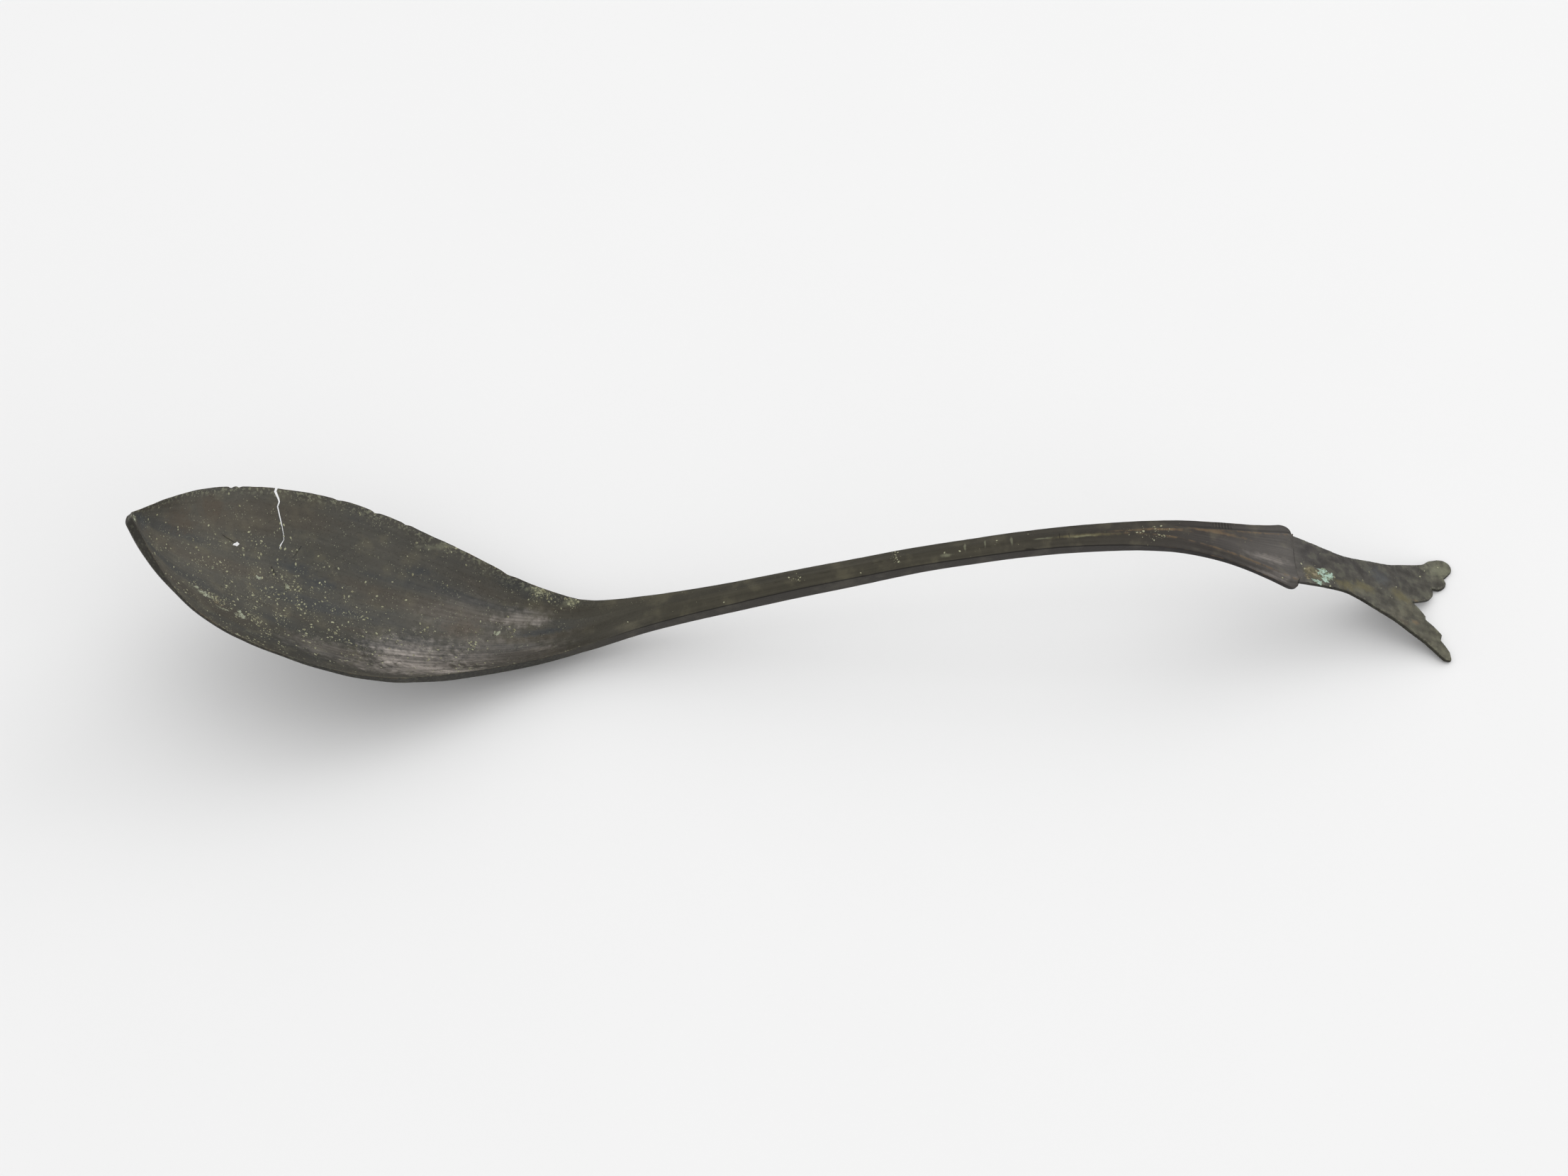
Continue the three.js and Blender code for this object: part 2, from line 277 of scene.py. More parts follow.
def white_paper():
    finish = Finish("white_paper")
    mottle = finish.clouds(0.02, 2.0)
    color = finish.mix(mottle, PAPER_WHITE, tuple(0.985 * part for part in PAPER_WHITE))
    return finish.finish(color, 0.85 + 0.1 * mottle, 0.0, finish.clouds(1.5), 0.01)


table_mesh = bpy.data.meshes.new("table")
corners = np.array([(-1, -1, 0), (1, -1, 0), (1, 1, 0), (-1, 1, 0)])
table_mesh.from_pydata(TABLE_HALF_SIZE * corners, [], [(0, 1, 2, 3)])
table_mesh.materials.append(white_paper())
table = in_scene("table", table_mesh)
print("table half size", TABLE_HALF_SIZE, "m")

# %% [markdown]
# The caster's pattern of a spoon is one side line, one outline and a few thicknesses. The same
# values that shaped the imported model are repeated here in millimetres, measured from the bowl's
# tip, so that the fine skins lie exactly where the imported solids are.

# %% Repeat the spoon's sizes
BOWL_LENGTH, STEM_LENGTH, COLLAR_LENGTH = 81.5, 104, 33.2
FORK_FROM_COLLAR, NEAR_LOBE_LENGTH, FAR_LOBE_LENGTH = 24.5, 6.4, 9.4
TIP_RISE, CREST_RISE, CREST_FROM_NECK = 37.9, 21.7, 102
TAIL_END_HEIGHT, BOWL_DEPTH, DISH_RUNOUT = 0.6, 10.6, 20
BOWL_HALF_WIDTH, TIP_HALF_WIDTH, NECK_HALF_WIDTH, STEM_HALF_WIDTH = 20.6, 0.6, 5.9, 2.25
LIP_HALF_WIDTH, TAIL_ROOT_HALF_WIDTH, WAIST_HALF_WIDTH = 8.4, 5.7, 4.4
NEAR_LOBE_SPREAD, FAR_LOBE_SPREAD = 12.3, 12.6
NECK_FLARE, LIP_FLARE, LIP_ROUNDING, LIP_LEAN, LOBE_CORNER = 14.5, 14.5, 2.6, 0.35, 1.2
TIP_EDGE, RIM_EDGE, BROAD_EDGE, SHOULDER_EDGE = 2.05, 0.8, 1.75, 3.0
STEM_EDGE, ARCH_EDGE, LIP_EDGE = 2.35, 3.0, 1.0
BOWL_WALL, STEM_MIDDLE, COLLAR_MIDDLE, TAIL_THICKNESS = 1.15, 3.0, 1.5, 0.75
RIDGE_HEIGHT, CREST_HALF_WIDTH, RIDGE_END_Y = 0.5, 0.3, 5.6
FLUTE_DEPTH, FIELD_DIP, LIP_LIFT = 0.45, 0.45, 0.5
DISH_POWER, DISH_LINE_SHARE, RIDGE_SPREAD_POWER = 2.2, 0.45, 1.6

neck_x = BOWL_LENGTH
dish_end_x = neck_x + DISH_RUNOUT
split_x = neck_x + STEM_LENGTH
crest_x = neck_x + CREST_FROM_NECK
lip_x = split_x + COLLAR_LENGTH
fork_x = lip_x + FORK_FROM_COLLAR
tail_end_x = fork_x + FAR_LOBE_LENGTH


def curve_through(points):
    """Smooth curve through (x, value) points that never swings past them."""
    xs, values = np.array(points, float).T
    rises = np.diff(values) / np.diff(xs)
    slopes = [rises[0]]
    for before, after in zip(rises[:-1], rises[1:]):
        slopes.append(2 * before * after / (before + after) if before * after > 0 else 0)
    slopes = np.array([*slopes, rises[-1]])

    def value_at(x):
        x = np.asarray(x, float)
        i = np.clip(np.searchsorted(xs, x) - 1, 0, len(xs) - 2)
        width = xs[i + 1] - xs[i]
        t = np.clip((x - xs[i]) / width, 0, 1)
        start = values[i] + slopes[i] * width * t
        end = values[i + 1] - slopes[i + 1] * width * (1 - t)
        return start + (end - start) * t * t * (3 - 2 * t)

    return value_at


def softened(curve, start, end, reach):
    """The same curve averaged over a short stretch, so that no bend shows as a band of light."""
    offsets = np.linspace(-1, 1, 11)
    weights = (1 - offsets**2) / (1 - offsets**2).sum()

    def value_at(x):
        x = np.asarray(x, float)
        room = np.clip(np.minimum(x - start, end - x), 0, reach)
        return sum(weight * curve(x + offset * room) for offset, weight in zip(offsets, weights))

    return value_at


def smoothstep(x, low, high):
    t = np.clip((x - low) / (high - low), 0, 1)
    return t * t * (3 - 2 * t)


def between(low, high, share):
    return low + (high - low) * share


# %% [markdown]
# Seen from the side, the rim drops from the raised tip to the neck, the stem arches up to its crest
# and the tail comes down to the table. Each stretch is a short list of shares of its length and
# rise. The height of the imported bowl's tip tells how high the whole line stands.

# %% Draw the side line, the outline and the thicknesses
BOWL_LINE = [
    (0, 1), (0.026, 0.93), (0.05, 0.864), (0.09, 0.782), (0.166, 0.682), (0.313, 0.53),
    (0.46, 0.381), (0.608, 0.235), (0.755, 0.12), (0.83, 0.062), (0.903, 0.02),
]
STEM_LINE = [
    (0, 0), (0.04, 0.031), (0.1, 0.108), (0.275, 0.331), (0.51, 0.633), (0.745, 0.875),
    (0.863, 0.96), (0.92, 0.987), (1, 1),
]
TAIL_LINE = [
    (0.145, 0.02), (0.232, 0.067), (0.319, 0.136), (0.406, 0.227), (0.493, 0.318), (0.58, 0.423),
    (0.667, 0.541), (0.754, 0.682), (0.841, 0.828), (0.884, 0.902), (0.915, 0.952), (0.94, 0.99),
    (1, 1),
]
BOWL_OUTLINE = [
    (0.025, 0.18), (0.056, 0.375), (0.092, 0.545), (0.166, 0.767), (0.24, 0.885), (0.313, 0.953),
    (0.44, 1), (0.54, 0.958), (0.65, 0.835), (0.757, 0.675), (0.867, 0.487), (0.94, 0.376),
]
DISH = [
    (0, 0), (0.015, 0.12), (0.054, 0.32), (0.132, 0.6), (0.254, 0.86), (0.37, 0.97), (0.446, 1),
    (0.55, 0.97), (0.61, 0.9), (0.67, 0.76), (0.727, 0.55), (0.785, 0.34), (0.844, 0.17),
    (0.92, 0.05), (1, 0),
]
SLOPE_STEP = 0.5
LINE_SOFTENING = 4.5
OUTLINE_SOFTENING = 3.0
DISH_SOFTENING = 7.0


def side_line_at(neck_height):
    crest = neck_height + CREST_RISE
    bowl = [(along * neck_x, neck_height + up * TIP_RISE) for along, up in BOWL_LINE]
    stem = [(between(neck_x, crest_x, along), neck_height + up * CREST_RISE) for along, up in STEM_LINE]
    tail = [(between(crest_x, tail_end_x, a), between(crest, TAIL_END_HEIGHT, d)) for a, d in TAIL_LINE]
    return softened(curve_through(bowl + stem + tail), 0, tail_end_x, LINE_SOFTENING)


bowl_outline = softened(curve_through([
    (0, TIP_HALF_WIDTH),
    *[(along * neck_x, half * BOWL_HALF_WIDTH) for along, half in BOWL_OUTLINE],
    (neck_x, NECK_HALF_WIDTH),
]), 0, neck_x, OUTLINE_SOFTENING)
dish_points = [(along * dish_end_x, down * BOWL_DEPTH) for along, down in DISH]
dish_depth = softened(curve_through(dish_points), 0, dish_end_x, DISH_SOFTENING)
edge_height = curve_through([
    (0, TIP_EDGE), (0.03 * neck_x, TIP_EDGE), (0.11 * neck_x, RIM_EDGE), (0.25 * neck_x, RIM_EDGE),
    (0.55 * neck_x, BROAD_EDGE), (0.78 * neck_x, SHOULDER_EDGE), (neck_x, STEM_EDGE),
    (neck_x + 0.45 * STEM_LENGTH, ARCH_EDGE), (neck_x + 0.7 * STEM_LENGTH, STEM_EDGE),
    (neck_x + 0.9 * STEM_LENGTH, STEM_EDGE), (lip_x - 0.2 * COLLAR_LENGTH, LIP_EDGE), (lip_x, LIP_EDGE),
])
middle_height = curve_through([
    (0, TIP_EDGE), (0.12 * neck_x, BOWL_WALL), (0.65 * neck_x, BOWL_WALL), (dish_end_x, STEM_MIDDLE),
    (crest_x - 0.25 * CREST_FROM_NECK, STEM_MIDDLE), (lip_x, COLLAR_MIDDLE),
])


def half_width(x):
    neck_flare = (NECK_HALF_WIDTH - STEM_HALF_WIDTH) * np.exp((neck_x - x) / NECK_FLARE)
    lip_flare = (LIP_HALF_WIDTH - STEM_HALF_WIDTH) * np.exp((x - lip_x) / LIP_FLARE)
    rounding = np.clip((x - lip_x + LIP_ROUNDING) / LIP_ROUNDING, 0, 1)
    corner = (1 - np.sqrt(1 - rounding**2)) * LIP_ROUNDING
    return np.where(x < neck_x, bowl_outline(x), STEM_HALF_WIDTH + neck_flare + lip_flare - corner)


def ridge_y(x):
    """Distance of the two ridges from the middle; in the bowl they only carry the dish."""
    spread = np.clip((x - split_x) / COLLAR_LENGTH, 0, None) ** RIDGE_SPREAD_POWER
    ridges = between(CREST_HALF_WIDTH, RIDGE_END_Y, spread)
    in_bowl = 1 - smoothstep(x, neck_x - 0.5 * DISH_RUNOUT, dish_end_x)
    return between(ridges, DISH_LINE_SHARE * half_width(x), in_bowl)


def lean(x):
    """How far the middle of a section lies to the near side."""
    return LIP_LEAN * smoothstep(x, split_x, lip_x)


def in_collar(x):
    return smoothstep(x, split_x, lip_x - 0.25 * COLLAR_LENGTH)


def curl(x, y):
    outward = np.clip(np.abs(y / half_width(x)), 0, 1)
    return LIP_LIFT * in_collar(x) * outward**2 - dish_depth(x) * (1 - outward**DISH_POWER)


def top_height(x, y):
    ridge = ridge_y(x)
    ridge_top = RIDGE_HEIGHT * smoothstep(x, neck_x, dish_end_x)
    field = ridge_top - FIELD_DIP * in_collar(x) * (1 - np.clip(y / ridge, -1, 1) ** 2)
    outward = np.clip((np.abs(y) - ridge) / (half_width(x) - ridge), 0, 1)
    flank = ridge_top * (1 - outward) - FLUTE_DEPTH * in_collar(x) * np.sin(np.pi * outward)
    return curl(x, y) + np.where(np.abs(y) < ridge, field, flank)


def underside_height(x, y):
    inward = 1 - np.clip(np.abs(y / half_width(x)), 0, 1) ** DISH_POWER
    return curl(x, y) - between(edge_height(x), middle_height(x), inward)


def placed(side_line, x, y, up):
    """Points at a height above the side line, on sections that stand square to it."""
    x, y, up = np.broadcast_arrays(x, y, up)
    slope = (side_line(x + SLOPE_STEP) - side_line(x - SLOPE_STEP)) / (2 * SLOPE_STEP)
    tilt = np.arctan(slope)
    height = side_line(x) + up * np.cos(tilt)
    return np.stack([x - up * np.sin(tilt), y, np.maximum(0, height)], -1)


tail_low, tail_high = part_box("tail")
bowl_low, bowl_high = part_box("bowl")
neck_height = bowl_high.z / MM - TIP_RISE
side_line = side_line_at(neck_height)
print("the neck stands", round(neck_height, 2), "mm above the table")

shift = np.array([tail_high.x / MM - tail_end_x, 0.5 * (bowl_low.y + bowl_high.y) / MM, 0])
print("the bowl's tip lies at x =", round(float(shift[0]), 2), "mm")

# %% [markdown]
# Each casting is a skin drawn through many cross-sections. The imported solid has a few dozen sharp
# ones; here they stand less than half a millimetre apart, their corners are rounded, and the metal
# is a little uneven, with dents, nicks and the file's low ripples.

# %% Write the skin of a casting
RIDGE_LINES = 12
FLANK_LINES = 16
SIDE_LINES = 4
CORNER_LINES = 3
CORNER_RADIUS = 0.18
RUBBED_WIDTH = 0.2
GROOVE_SHADE = 0.4
RIPPLE_HEIGHT = 0.05
SHARP_ANGLE = math.radians(50)
RIM_WEAR = 0.06
RIM_NICKS = [
    (16.6, 1, 0.28, 0.4), (18, 1, 0.2, 0.3), (43, 1, 0.2, 0.5), (48.7, 1, 0.16, 0.5), (36, 1, 0.12, 0.6),
    (16.2, -1, 0.22, 0.5), (19.6, -1, 0.26, 0.6), (22.4, -1, 0.22, 0.4), (51, -1, 0.2, 0.6),
    (68, 1, 0.15, 0.9),
]
DENTS = [
    (60, -7, 2.4, 1.8, 0.22), (64, -10, 1.8, 1.2, 0.2), (53, -9, 2.6, 1.3, 0.24),
    (43.2, -14.2, 0.5, 1.4, 0.15), (68, -3, 3.4, 2, 0.12), (32, 6, 5, 3.5, 0.1),
]
MIDDLE_SHARES = np.linspace(0, 1, RIDGE_LINES + 1)
FLANK_SHARES = np.sin(0.5 * np.pi * np.linspace(0, 1, FLANK_LINES + 1)[1:])


def ripple(x, y, size, seed):
    """Gentle unevenness between about -0.5 and 0.5."""
    places = zip(np.ravel(x) / size, np.ravel(y) / size)
    values = [noise.noise(Vector((along, across, seed))) for along, across in places]
    return np.reshape(values, np.shape(x))


def worn_half_width(x, side):
    worn = half_width(x) - RIM_WEAR * np.abs(ripple(x, 3.0 * side * np.ones_like(x), 2.2, 7.3))
    for nick_x, nick_side, depth, reach in RIM_NICKS:
        if nick_side == side:
            worn = worn - depth * np.exp(-(((x - nick_x) / reach) ** 2))
    return worn


def relief(x, y):
    """Dents and ripples of the top surface, fading out at the rim."""
    inside = 1 - np.clip(np.abs(y) / half_width(x), 0, 1) ** 8
    height = RIPPLE_HEIGHT * (ripple(x * 0.5, y, 1.6, 1.7) + ripple(x * 0.3, y, 4.0, 4.1))
    for dent_x, dent_y, length, width, depth in DENTS:
        height = height - depth * np.exp(-(((x - dent_x) / length) ** 2) - ((y - dent_y) / width) ** 2)
    return height * inside


def rounded_corner(before, corner, after):
    """Points of a soft bend from one point to another round a corner."""
    t = np.linspace(0, 1, CORNER_LINES + 2)[None, 1:-1, None]
    return (1 - t) ** 2 * before + 2 * t * (1 - t) * corner + t**2 * after


def half_ring(x, side):
    """One side of every section: middle of the top, round the edge, middle of the underside."""
    column = x[:, None]
    half = worn_half_width(column, side)
    radius = np.minimum(CORNER_RADIUS, 0.3 * edge_height(column))
    ridge = np.minimum(ridge_y(column), 0.8 * half)
    lines = np.hstack([ridge * MIDDLE_SHARES, between(ridge, half - radius, FLANK_SHARES)])
    middle = -lean(column)
    top_up = top_height(column, lines) + relief(column, side * lines)
    top = placed(side_line, column, middle + side * lines, top_up)
    drawn_in = 1 - np.minimum(0.1, 0.15 * edge_height(column) / half)
    lower_half = half * drawn_in
    lower_lines = lines[:, ::-1] * drawn_in
    under_up = underside_height(column, lines[:, ::-1])
    under = placed(side_line, column, middle + side * lower_lines, under_up)
    upper_edge = top_height(column, half)
    lower_edge = underside_height(column, half)
    share = np.linspace(0, 1, SIDE_LINES + 1)
    side_up = between(upper_edge - radius, lower_edge + radius, share)
    side_out = between(half, lower_half, (upper_edge - side_up) / (upper_edge - lower_edge))
    face = placed(side_line, column, middle + side * side_out, side_up)
    upper_corner = placed(side_line, column, middle + side * half, upper_edge)
    lower_corner = placed(side_line, column, middle + side * lower_half, lower_edge)
    points = np.concatenate([
        top, rounded_corner(top[:, -1:], upper_corner, face[:, :1]), face,
        rounded_corner(face[:, -1:], lower_corner, under[:, :1]), under,
    ], axis=1)
    on_top_face = slice(0, lines.shape[1])
    at_corner = slice(lines.shape[1], lines.shape[1] + CORNER_LINES)
    in_stem = smoothstep(column, neck_x - 5, neck_x + 15) - smoothstep(column, split_x, split_x + 12)
    # Above zero the skin is rubbed bare; below zero it takes painted shade, in the collar's flutes and
    # along the stem's edges.
    rubbed = np.zeros(points.shape[:2])
    crest = np.exp(-(((lines - ridge) / RUBBED_WIDTH) ** 2))
    rubbed[:, on_top_face] = crest * smoothstep(column, split_x - 12, split_x + 12)
    groove = np.exp(-(((lines - ridge) / (half - ridge) - 0.38) / 0.2) ** 2)
    rubbed[:, on_top_face] -= GROOVE_SHADE * groove * in_collar(column)
    rubbed[:, at_corner] = between(0.5, -0.8, in_stem)
    flank = np.ones(points.shape[:2])
    flank[:, on_top_face] = 0
    rim = np.ones(points.shape[:2])
    rim[:, on_top_face] = smoothstep(half - lines, 1.6, 0.2)
    across = side * np.ones(points.shape[:2])
    across[:, on_top_face] = side * lines / half
    return points, rubbed, flank, rim, across


def object_from(name, points, faces):
    """A smooth mesh object in the spoon's frame, from points in millimetres off the bowl's tip."""
    mesh = bpy.data.meshes.new(name)
    mesh.from_pydata((points + shift) * MM, [], faces)
    mesh.validate()
    mesh.shade_smooth()
    mesh.set_sharp_from_angle(angle=SHARP_ANGLE)
    return in_scene(name, mesh)


def paint(made, name, values):
    """Keep one number for each point of a mesh, for the finish to read."""
    layer = made.data.attributes.new(name, "FLOAT", "POINT")
    layer.data.foreach_set("value", np.ravel(values).astype(np.float32))


def casting(name, x):
    """A closed skin through sections at these places along the spoon."""
    far = half_ring(x, 1)
    near = half_ring(x, -1)
    rings, *painted = (np.concatenate([f[:, ::-1], n[:, 1:-1]], axis=1) for f, n in zip(far, near))
    count = rings.shape[1]
    start = np.arange(len(x) - 1)[:, None] * count
    here = start + np.arange(count)
    after = start + (np.arange(count) + 1) % count
    faces = np.stack([here, after, after + count, here + count], -1).reshape(-1, 4).tolist()
    last = far[0].shape[1] - 1
    for ring, turn in ((0, -1), (len(x) - 1, 1)):
        for way in (1, -1):
            for step in range((last + 1) // 2):
                across = (step, step + 1, last - step - 1, last - step)
                corners = [ring * count + (last + way * corner) % count for corner in across]
                faces.append(list(dict.fromkeys(corners))[::turn * way])
    made = object_from(name, rings.reshape(-1, 3), faces)
    for share, values in zip(("rubbed", "flank", "rim", "across"), painted):
        paint(made, share, values)
    return made


# %% [markdown]
# The bowl, the stem and the collar are three such skins that share their end sections, so the
# joins between them don't show. Sections crowd together at the bowl's tip, where the outline turns
# fastest.

# %% Cast the bowl, the stem and the collar
BOWL_SECTIONS = 230
STEM_SECTIONS = 220
COLLAR_SECTIONS = 95

tip_first = np.linspace(0, 1, BOWL_SECTIONS + 1) ** 1.35
bowl = casting("bowl_metal", neck_x * tip_first)
stem = casting("stem_metal", np.linspace(neck_x, split_x, STEM_SECTIONS + 1))
lip_last = np.sin(0.5 * np.pi * np.linspace(0, 1, COLLAR_SECTIONS + 1))
collar = casting("collar_metal", between(split_x, lip_x, lip_last))
for made in (bowl, stem, collar):
    print(made.name, len(made.data.polygons), "faces")

# %% [markdown]
# The tail is a thin plate cut to a forked outline with two ragged lobes. The outline is drawn from
# above as short curves, filled with small triangles, bent along the side line and given an
# underside; its border thins out, as a corroded edge does.

# %% Cut and bend the tail
TAIL_GRID = 0.42
TAIL_EDGE = 0.14
TAIL_LUMPS = 0.22
BORDER_ROWS = (0.08, 0.2, 0.36)
LEAST_GAP = 0.06


def curve_from(start, points, steps=6):
    """Points of a smooth curve from a start through all the points, the start left out."""
    knots = np.array([start, start, *points, points[-1]], float)
    shares = np.linspace(0, 1, steps + 1)[1:]
    drawn = []
    for before, first, last, after in zip(knots[:-3], knots[1:-2], knots[2:-1], knots[3:]):
        for t in shares:
            bend = (2 * before - 5 * first + 4 * last - after) * t**2
            twist = (-before + 3 * first - 3 * last + after) * t**3
            drawn.append(0.5 * (2 * first + (last - before) * t + bend + twist))
    return [tuple(point) for point in drawn]


def tail_outline():
    waist = [(0.1, between(WAIST_HALF_WIDTH, TAIL_ROOT_HALF_WIDTH, 0.72)),
             (0.25, between(WAIST_HALF_WIDTH, TAIL_ROOT_HALF_WIDTH, 0.3)), (0.42, WAIST_HALF_WIDTH)]
    flare = [(0.55, 0.08), (0.67, 0.2), (0.83, 0.36), (0.95, 0.56), (1.08, 0.78)]

    def side(spread):
        lobe_root = spread - LOBE_CORNER
        wide = [(along, between(WAIST_HALF_WIDTH, lobe_root, out)) for along, out in flare]
        return [(lip_x + along * FORK_FROM_COLLAR, half) for along, half in waist + wide]

    def near(*shares):
        return [(fork_x + along * NEAR_LOBE_LENGTH, -out * NEAR_LOBE_SPREAD) for along, out in shares]

    def far(*shares):
        return [(fork_x + along * FAR_LOBE_LENGTH, out * FAR_LOBE_SPREAD) for along, out in shares]

    near_side = [(x, -half) for x, half in side(NEAR_LOBE_SPREAD)]
    far_side = side(FAR_LOBE_SPREAD)[::-1]
    stretches = [
        near_side + near((0.66, 0.94), (0.8, 1)), near((0.94, 1), (1, 0.97), (0.99, 0.83)),
        near((0.88, 0.72), (0.76, 0.63)), near((0.83, 0.51)), near((0.61, 0.38), (0.37, 0.29)),
        near((0.38, 0.22)), near((0.2, 0.11), (0, 0.03)),
        far((0.2, 0.06), (0.41, 0.16), (0.52, 0.28), (0.51, 0.4)),
        far((0.68, 0.41), (0.8, 0.47), (0.84, 0.54), (0.81, 0.63)),
        far((0.92, 0.71), (1, 0.79), (0.98, 0.9), (0.87, 0.98), (0.73, 1)),
        far((0.55, 0.95), (0.41, 0.86)) + far_side, [(lip_x, TAIL_ROOT_HALF_WIDTH)],
    ]
    outline = [(lip_x, -TAIL_ROOT_HALF_WIDTH)]
    for stretch in stretches:
        outline += curve_from(outline[-1], stretch, steps=1 if len(stretch) == 1 else 6)
    return np.array(outline)


def distance_to(points, outline):
    """Least distance of each point from the outline, its straight root left out."""
    starts, ends = outline[:-1], outline[1:]
    along = ends - starts
    offset = points[:, None] - starts
    share = np.clip((offset * along).sum(-1) / (along**2).sum(-1), 0, 1)
    return np.linalg.norm(offset - share[..., None] * along, axis=-1).min(1)


def inside(points, outline):
    ends = np.roll(outline, -1, axis=0)
    x, y = points[:, :1], points[:, 1:]
    crosses = (outline[:, 1] > y) != (ends[:, 1] > y)
    safe_rise = np.where(ends[:, 1] == outline[:, 1], 1, ends[:, 1] - outline[:, 1])
    crossing_x = outline[:, 0] + (y - outline[:, 1]) / safe_rise * (ends[:, 0] - outline[:, 0])
    return (crosses & (x < crossing_x)).sum(1) % 2 == 1


def tail_plan(outline):
    """Triangles that fill the outline, with extra rows of points close to its border."""
    reach = FAR_LOBE_SPREAD + 0.5
    rows = [np.stack(np.meshgrid(
        np.arange(lip_x + 0.2, tail_end_x, TAIL_GRID), np.arange(-reach, reach, TAIL_GRID),
    ), -1).reshape(-1, 2)]
    tangent = np.roll(outline, -1, axis=0) - np.roll(outline, 1, axis=0)
    inward = np.stack([-tangent[:, 1], tangent[:, 0]], -1) / np.linalg.norm(tangent, axis=1)[:, None]
    rows += [outline[1:-1] + step * inward[1:-1] for step in BORDER_ROWS]
    filling = np.concatenate(rows)
    filling = filling[inside(filling, outline)]
    filling = filling[distance_to(filling, outline) > LEAST_GAP]
    points = [Vector(point) for point in np.concatenate([outline, filling])]
    loop = list(range(len(outline)))
    found = geometry.delaunay_2d_cdt(points, [], [loop], 1, 1e-5)
    return np.array([tuple(point) for point in found[0]]), found[2]


def tail_casting():
    outline = tail_outline()
    plan, triangles = tail_plan(outline)
    depth_in = distance_to(plan, outline)
    round_off = TAIL_EDGE * (1 - np.sqrt(1 - (1 - np.clip(depth_in / TAIL_EDGE, 0, 1)) ** 2))
    x, y = plan.T
    lumps = TAIL_LUMPS * smoothstep(x, lip_x, fork_x) * ripple(x, y, 2.6, 9.2)
    lumps = lumps * np.clip(depth_in, 0, 1) + 0.5 * RIPPLE_HEIGHT * ripple(x, y, 0.9, 3.4)
    field = RIDGE_HEIGHT - FIELD_DIP
    top = placed(side_line, x, y, field - round_off + np.minimum(lumps, 0.1))
    under = placed(side_line, x, y, field - TAIL_THICKNESS + 0.8 * round_off)
    count = len(plan)
    faces = [list(corners) for corners in triangles]
    edges = dict.fromkeys(
        edge for corners in triangles for edge in zip(corners, [*corners[1:], corners[0]])
    )
    border = [edge for edge in edges if edge[::-1] not in edges]
    faces += [[corner + count for corner in corners[::-1]] for corners in triangles]
    faces += [[last, first, first + count, last + count] for first, last in border]
    made = object_from("tail_metal", np.concatenate([top, under]), faces)
    border_share = np.where(depth_in < 0.01, 1.0, 0.0)
    paint(made, "flank", [border_share, np.ones(count)])
    paint(made, "rim", [1 - np.clip(depth_in, 0, 1)] * 2)
    paint(made, "across", [y / WAIST_HALF_WIDTH] * 2)
    return made


tail = tail_casting()
print(tail.name, len(tail.data.polygons), "faces")

# %% [markdown]
# The bowl's far wall has cracked from the rim down, and corrosion has eaten a small hole beside the
# crack. A thin wedge follows the crack, a many-sided plug marks the hole, and shallow blades score
# the hairlines; one Boolean cut takes them all out of the wall.

# %% Cut the crack, the hole and the hairlines
WALL_NORMAL = Vector((0, -0.6, 0.8))
CRACK = [
    (24.6, 21.8, 0.5), (24.7, 19.5, 0.46), (24.6, 19.0, 0.5), (25.5, 18.2, 0.36), (25.8, 17.8, 0.3),
    (25.7, 17.1, 0.26), (26.6, 15.7, 0.24), (27.4, 14.4, 0.2), (27.9, 13.4, 0.16), (28.2, 12.5, 0.18),
    (27.8, 11.4, 0.3), (27.7, 10.7, 0.1),
]
HAIRLINES = [
    [(17.0, 9.5, 0.14), (17.8, 9.3, 0.2), (18.6, 9.2, 0.24), (19.2, 9.1, 0.14)],
    [(26.8, 7.0, 0.12), (27.2, 6.4, 0.2), (27.9, 5.6, 0.12)],
    [(30.5, 9.9, 0.12), (31.0, 11.0, 0.2), (31.6, 12.4, 0.12)],
]
HOLE_CENTRE = (19.7, 8.9)
HOLE_REACH = [0.62, 0.5, 0.75, 0.42, 0.58, 0.8, 0.45, 0.66, 0.5]
THROUGH_WALL = 3.0
SCORE_DEPTH = 0.22


def above_metal(x, y, height=0.0):
    """Points at a height over the top surface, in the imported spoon's frame, in millimetres."""
    x, y = np.asarray(x, float), np.asarray(y, float)
    on_tail = x > lip_x
    surface = np.where(on_tail, RIDGE_HEIGHT - FIELD_DIP, top_height(x, y))
    return placed(side_line, x, y - np.where(on_tail, 0, lean(x)), surface + height) + shift


def on_top(x, y):
    return Vector(above_metal(x, y))


def wedge(path, depth):
    """Points and faces of a thin closed blade that follows a path on the top surface."""
    middle = [on_top(x, y) for x, y, _ in path]
    points, faces = [], []
    for i, (_, _, width) in enumerate(path):
        along = middle[min(i + 1, len(path) - 1)] - middle[max(i - 1, 0)]
        out = along.cross(WALL_NORMAL).normalized() * 0.5 * width
        for level in (-depth, THROUGH_WALL):
            points += [middle[i] + out + WALL_NORMAL * level, middle[i] - out + WALL_NORMAL * level]
    for i in range(len(path) - 1):
        a, b = 4 * i, 4 * i + 4
        for first, second in ((0, 1), (1, 3), (3, 2), (2, 0)):
            faces.append((a + first, a + second, b + second, b + first))
    end = 4 * len(path) - 4
    faces += [(0, 2, 3, 1), (end, end + 1, end + 3, end + 2)]
    return points, faces


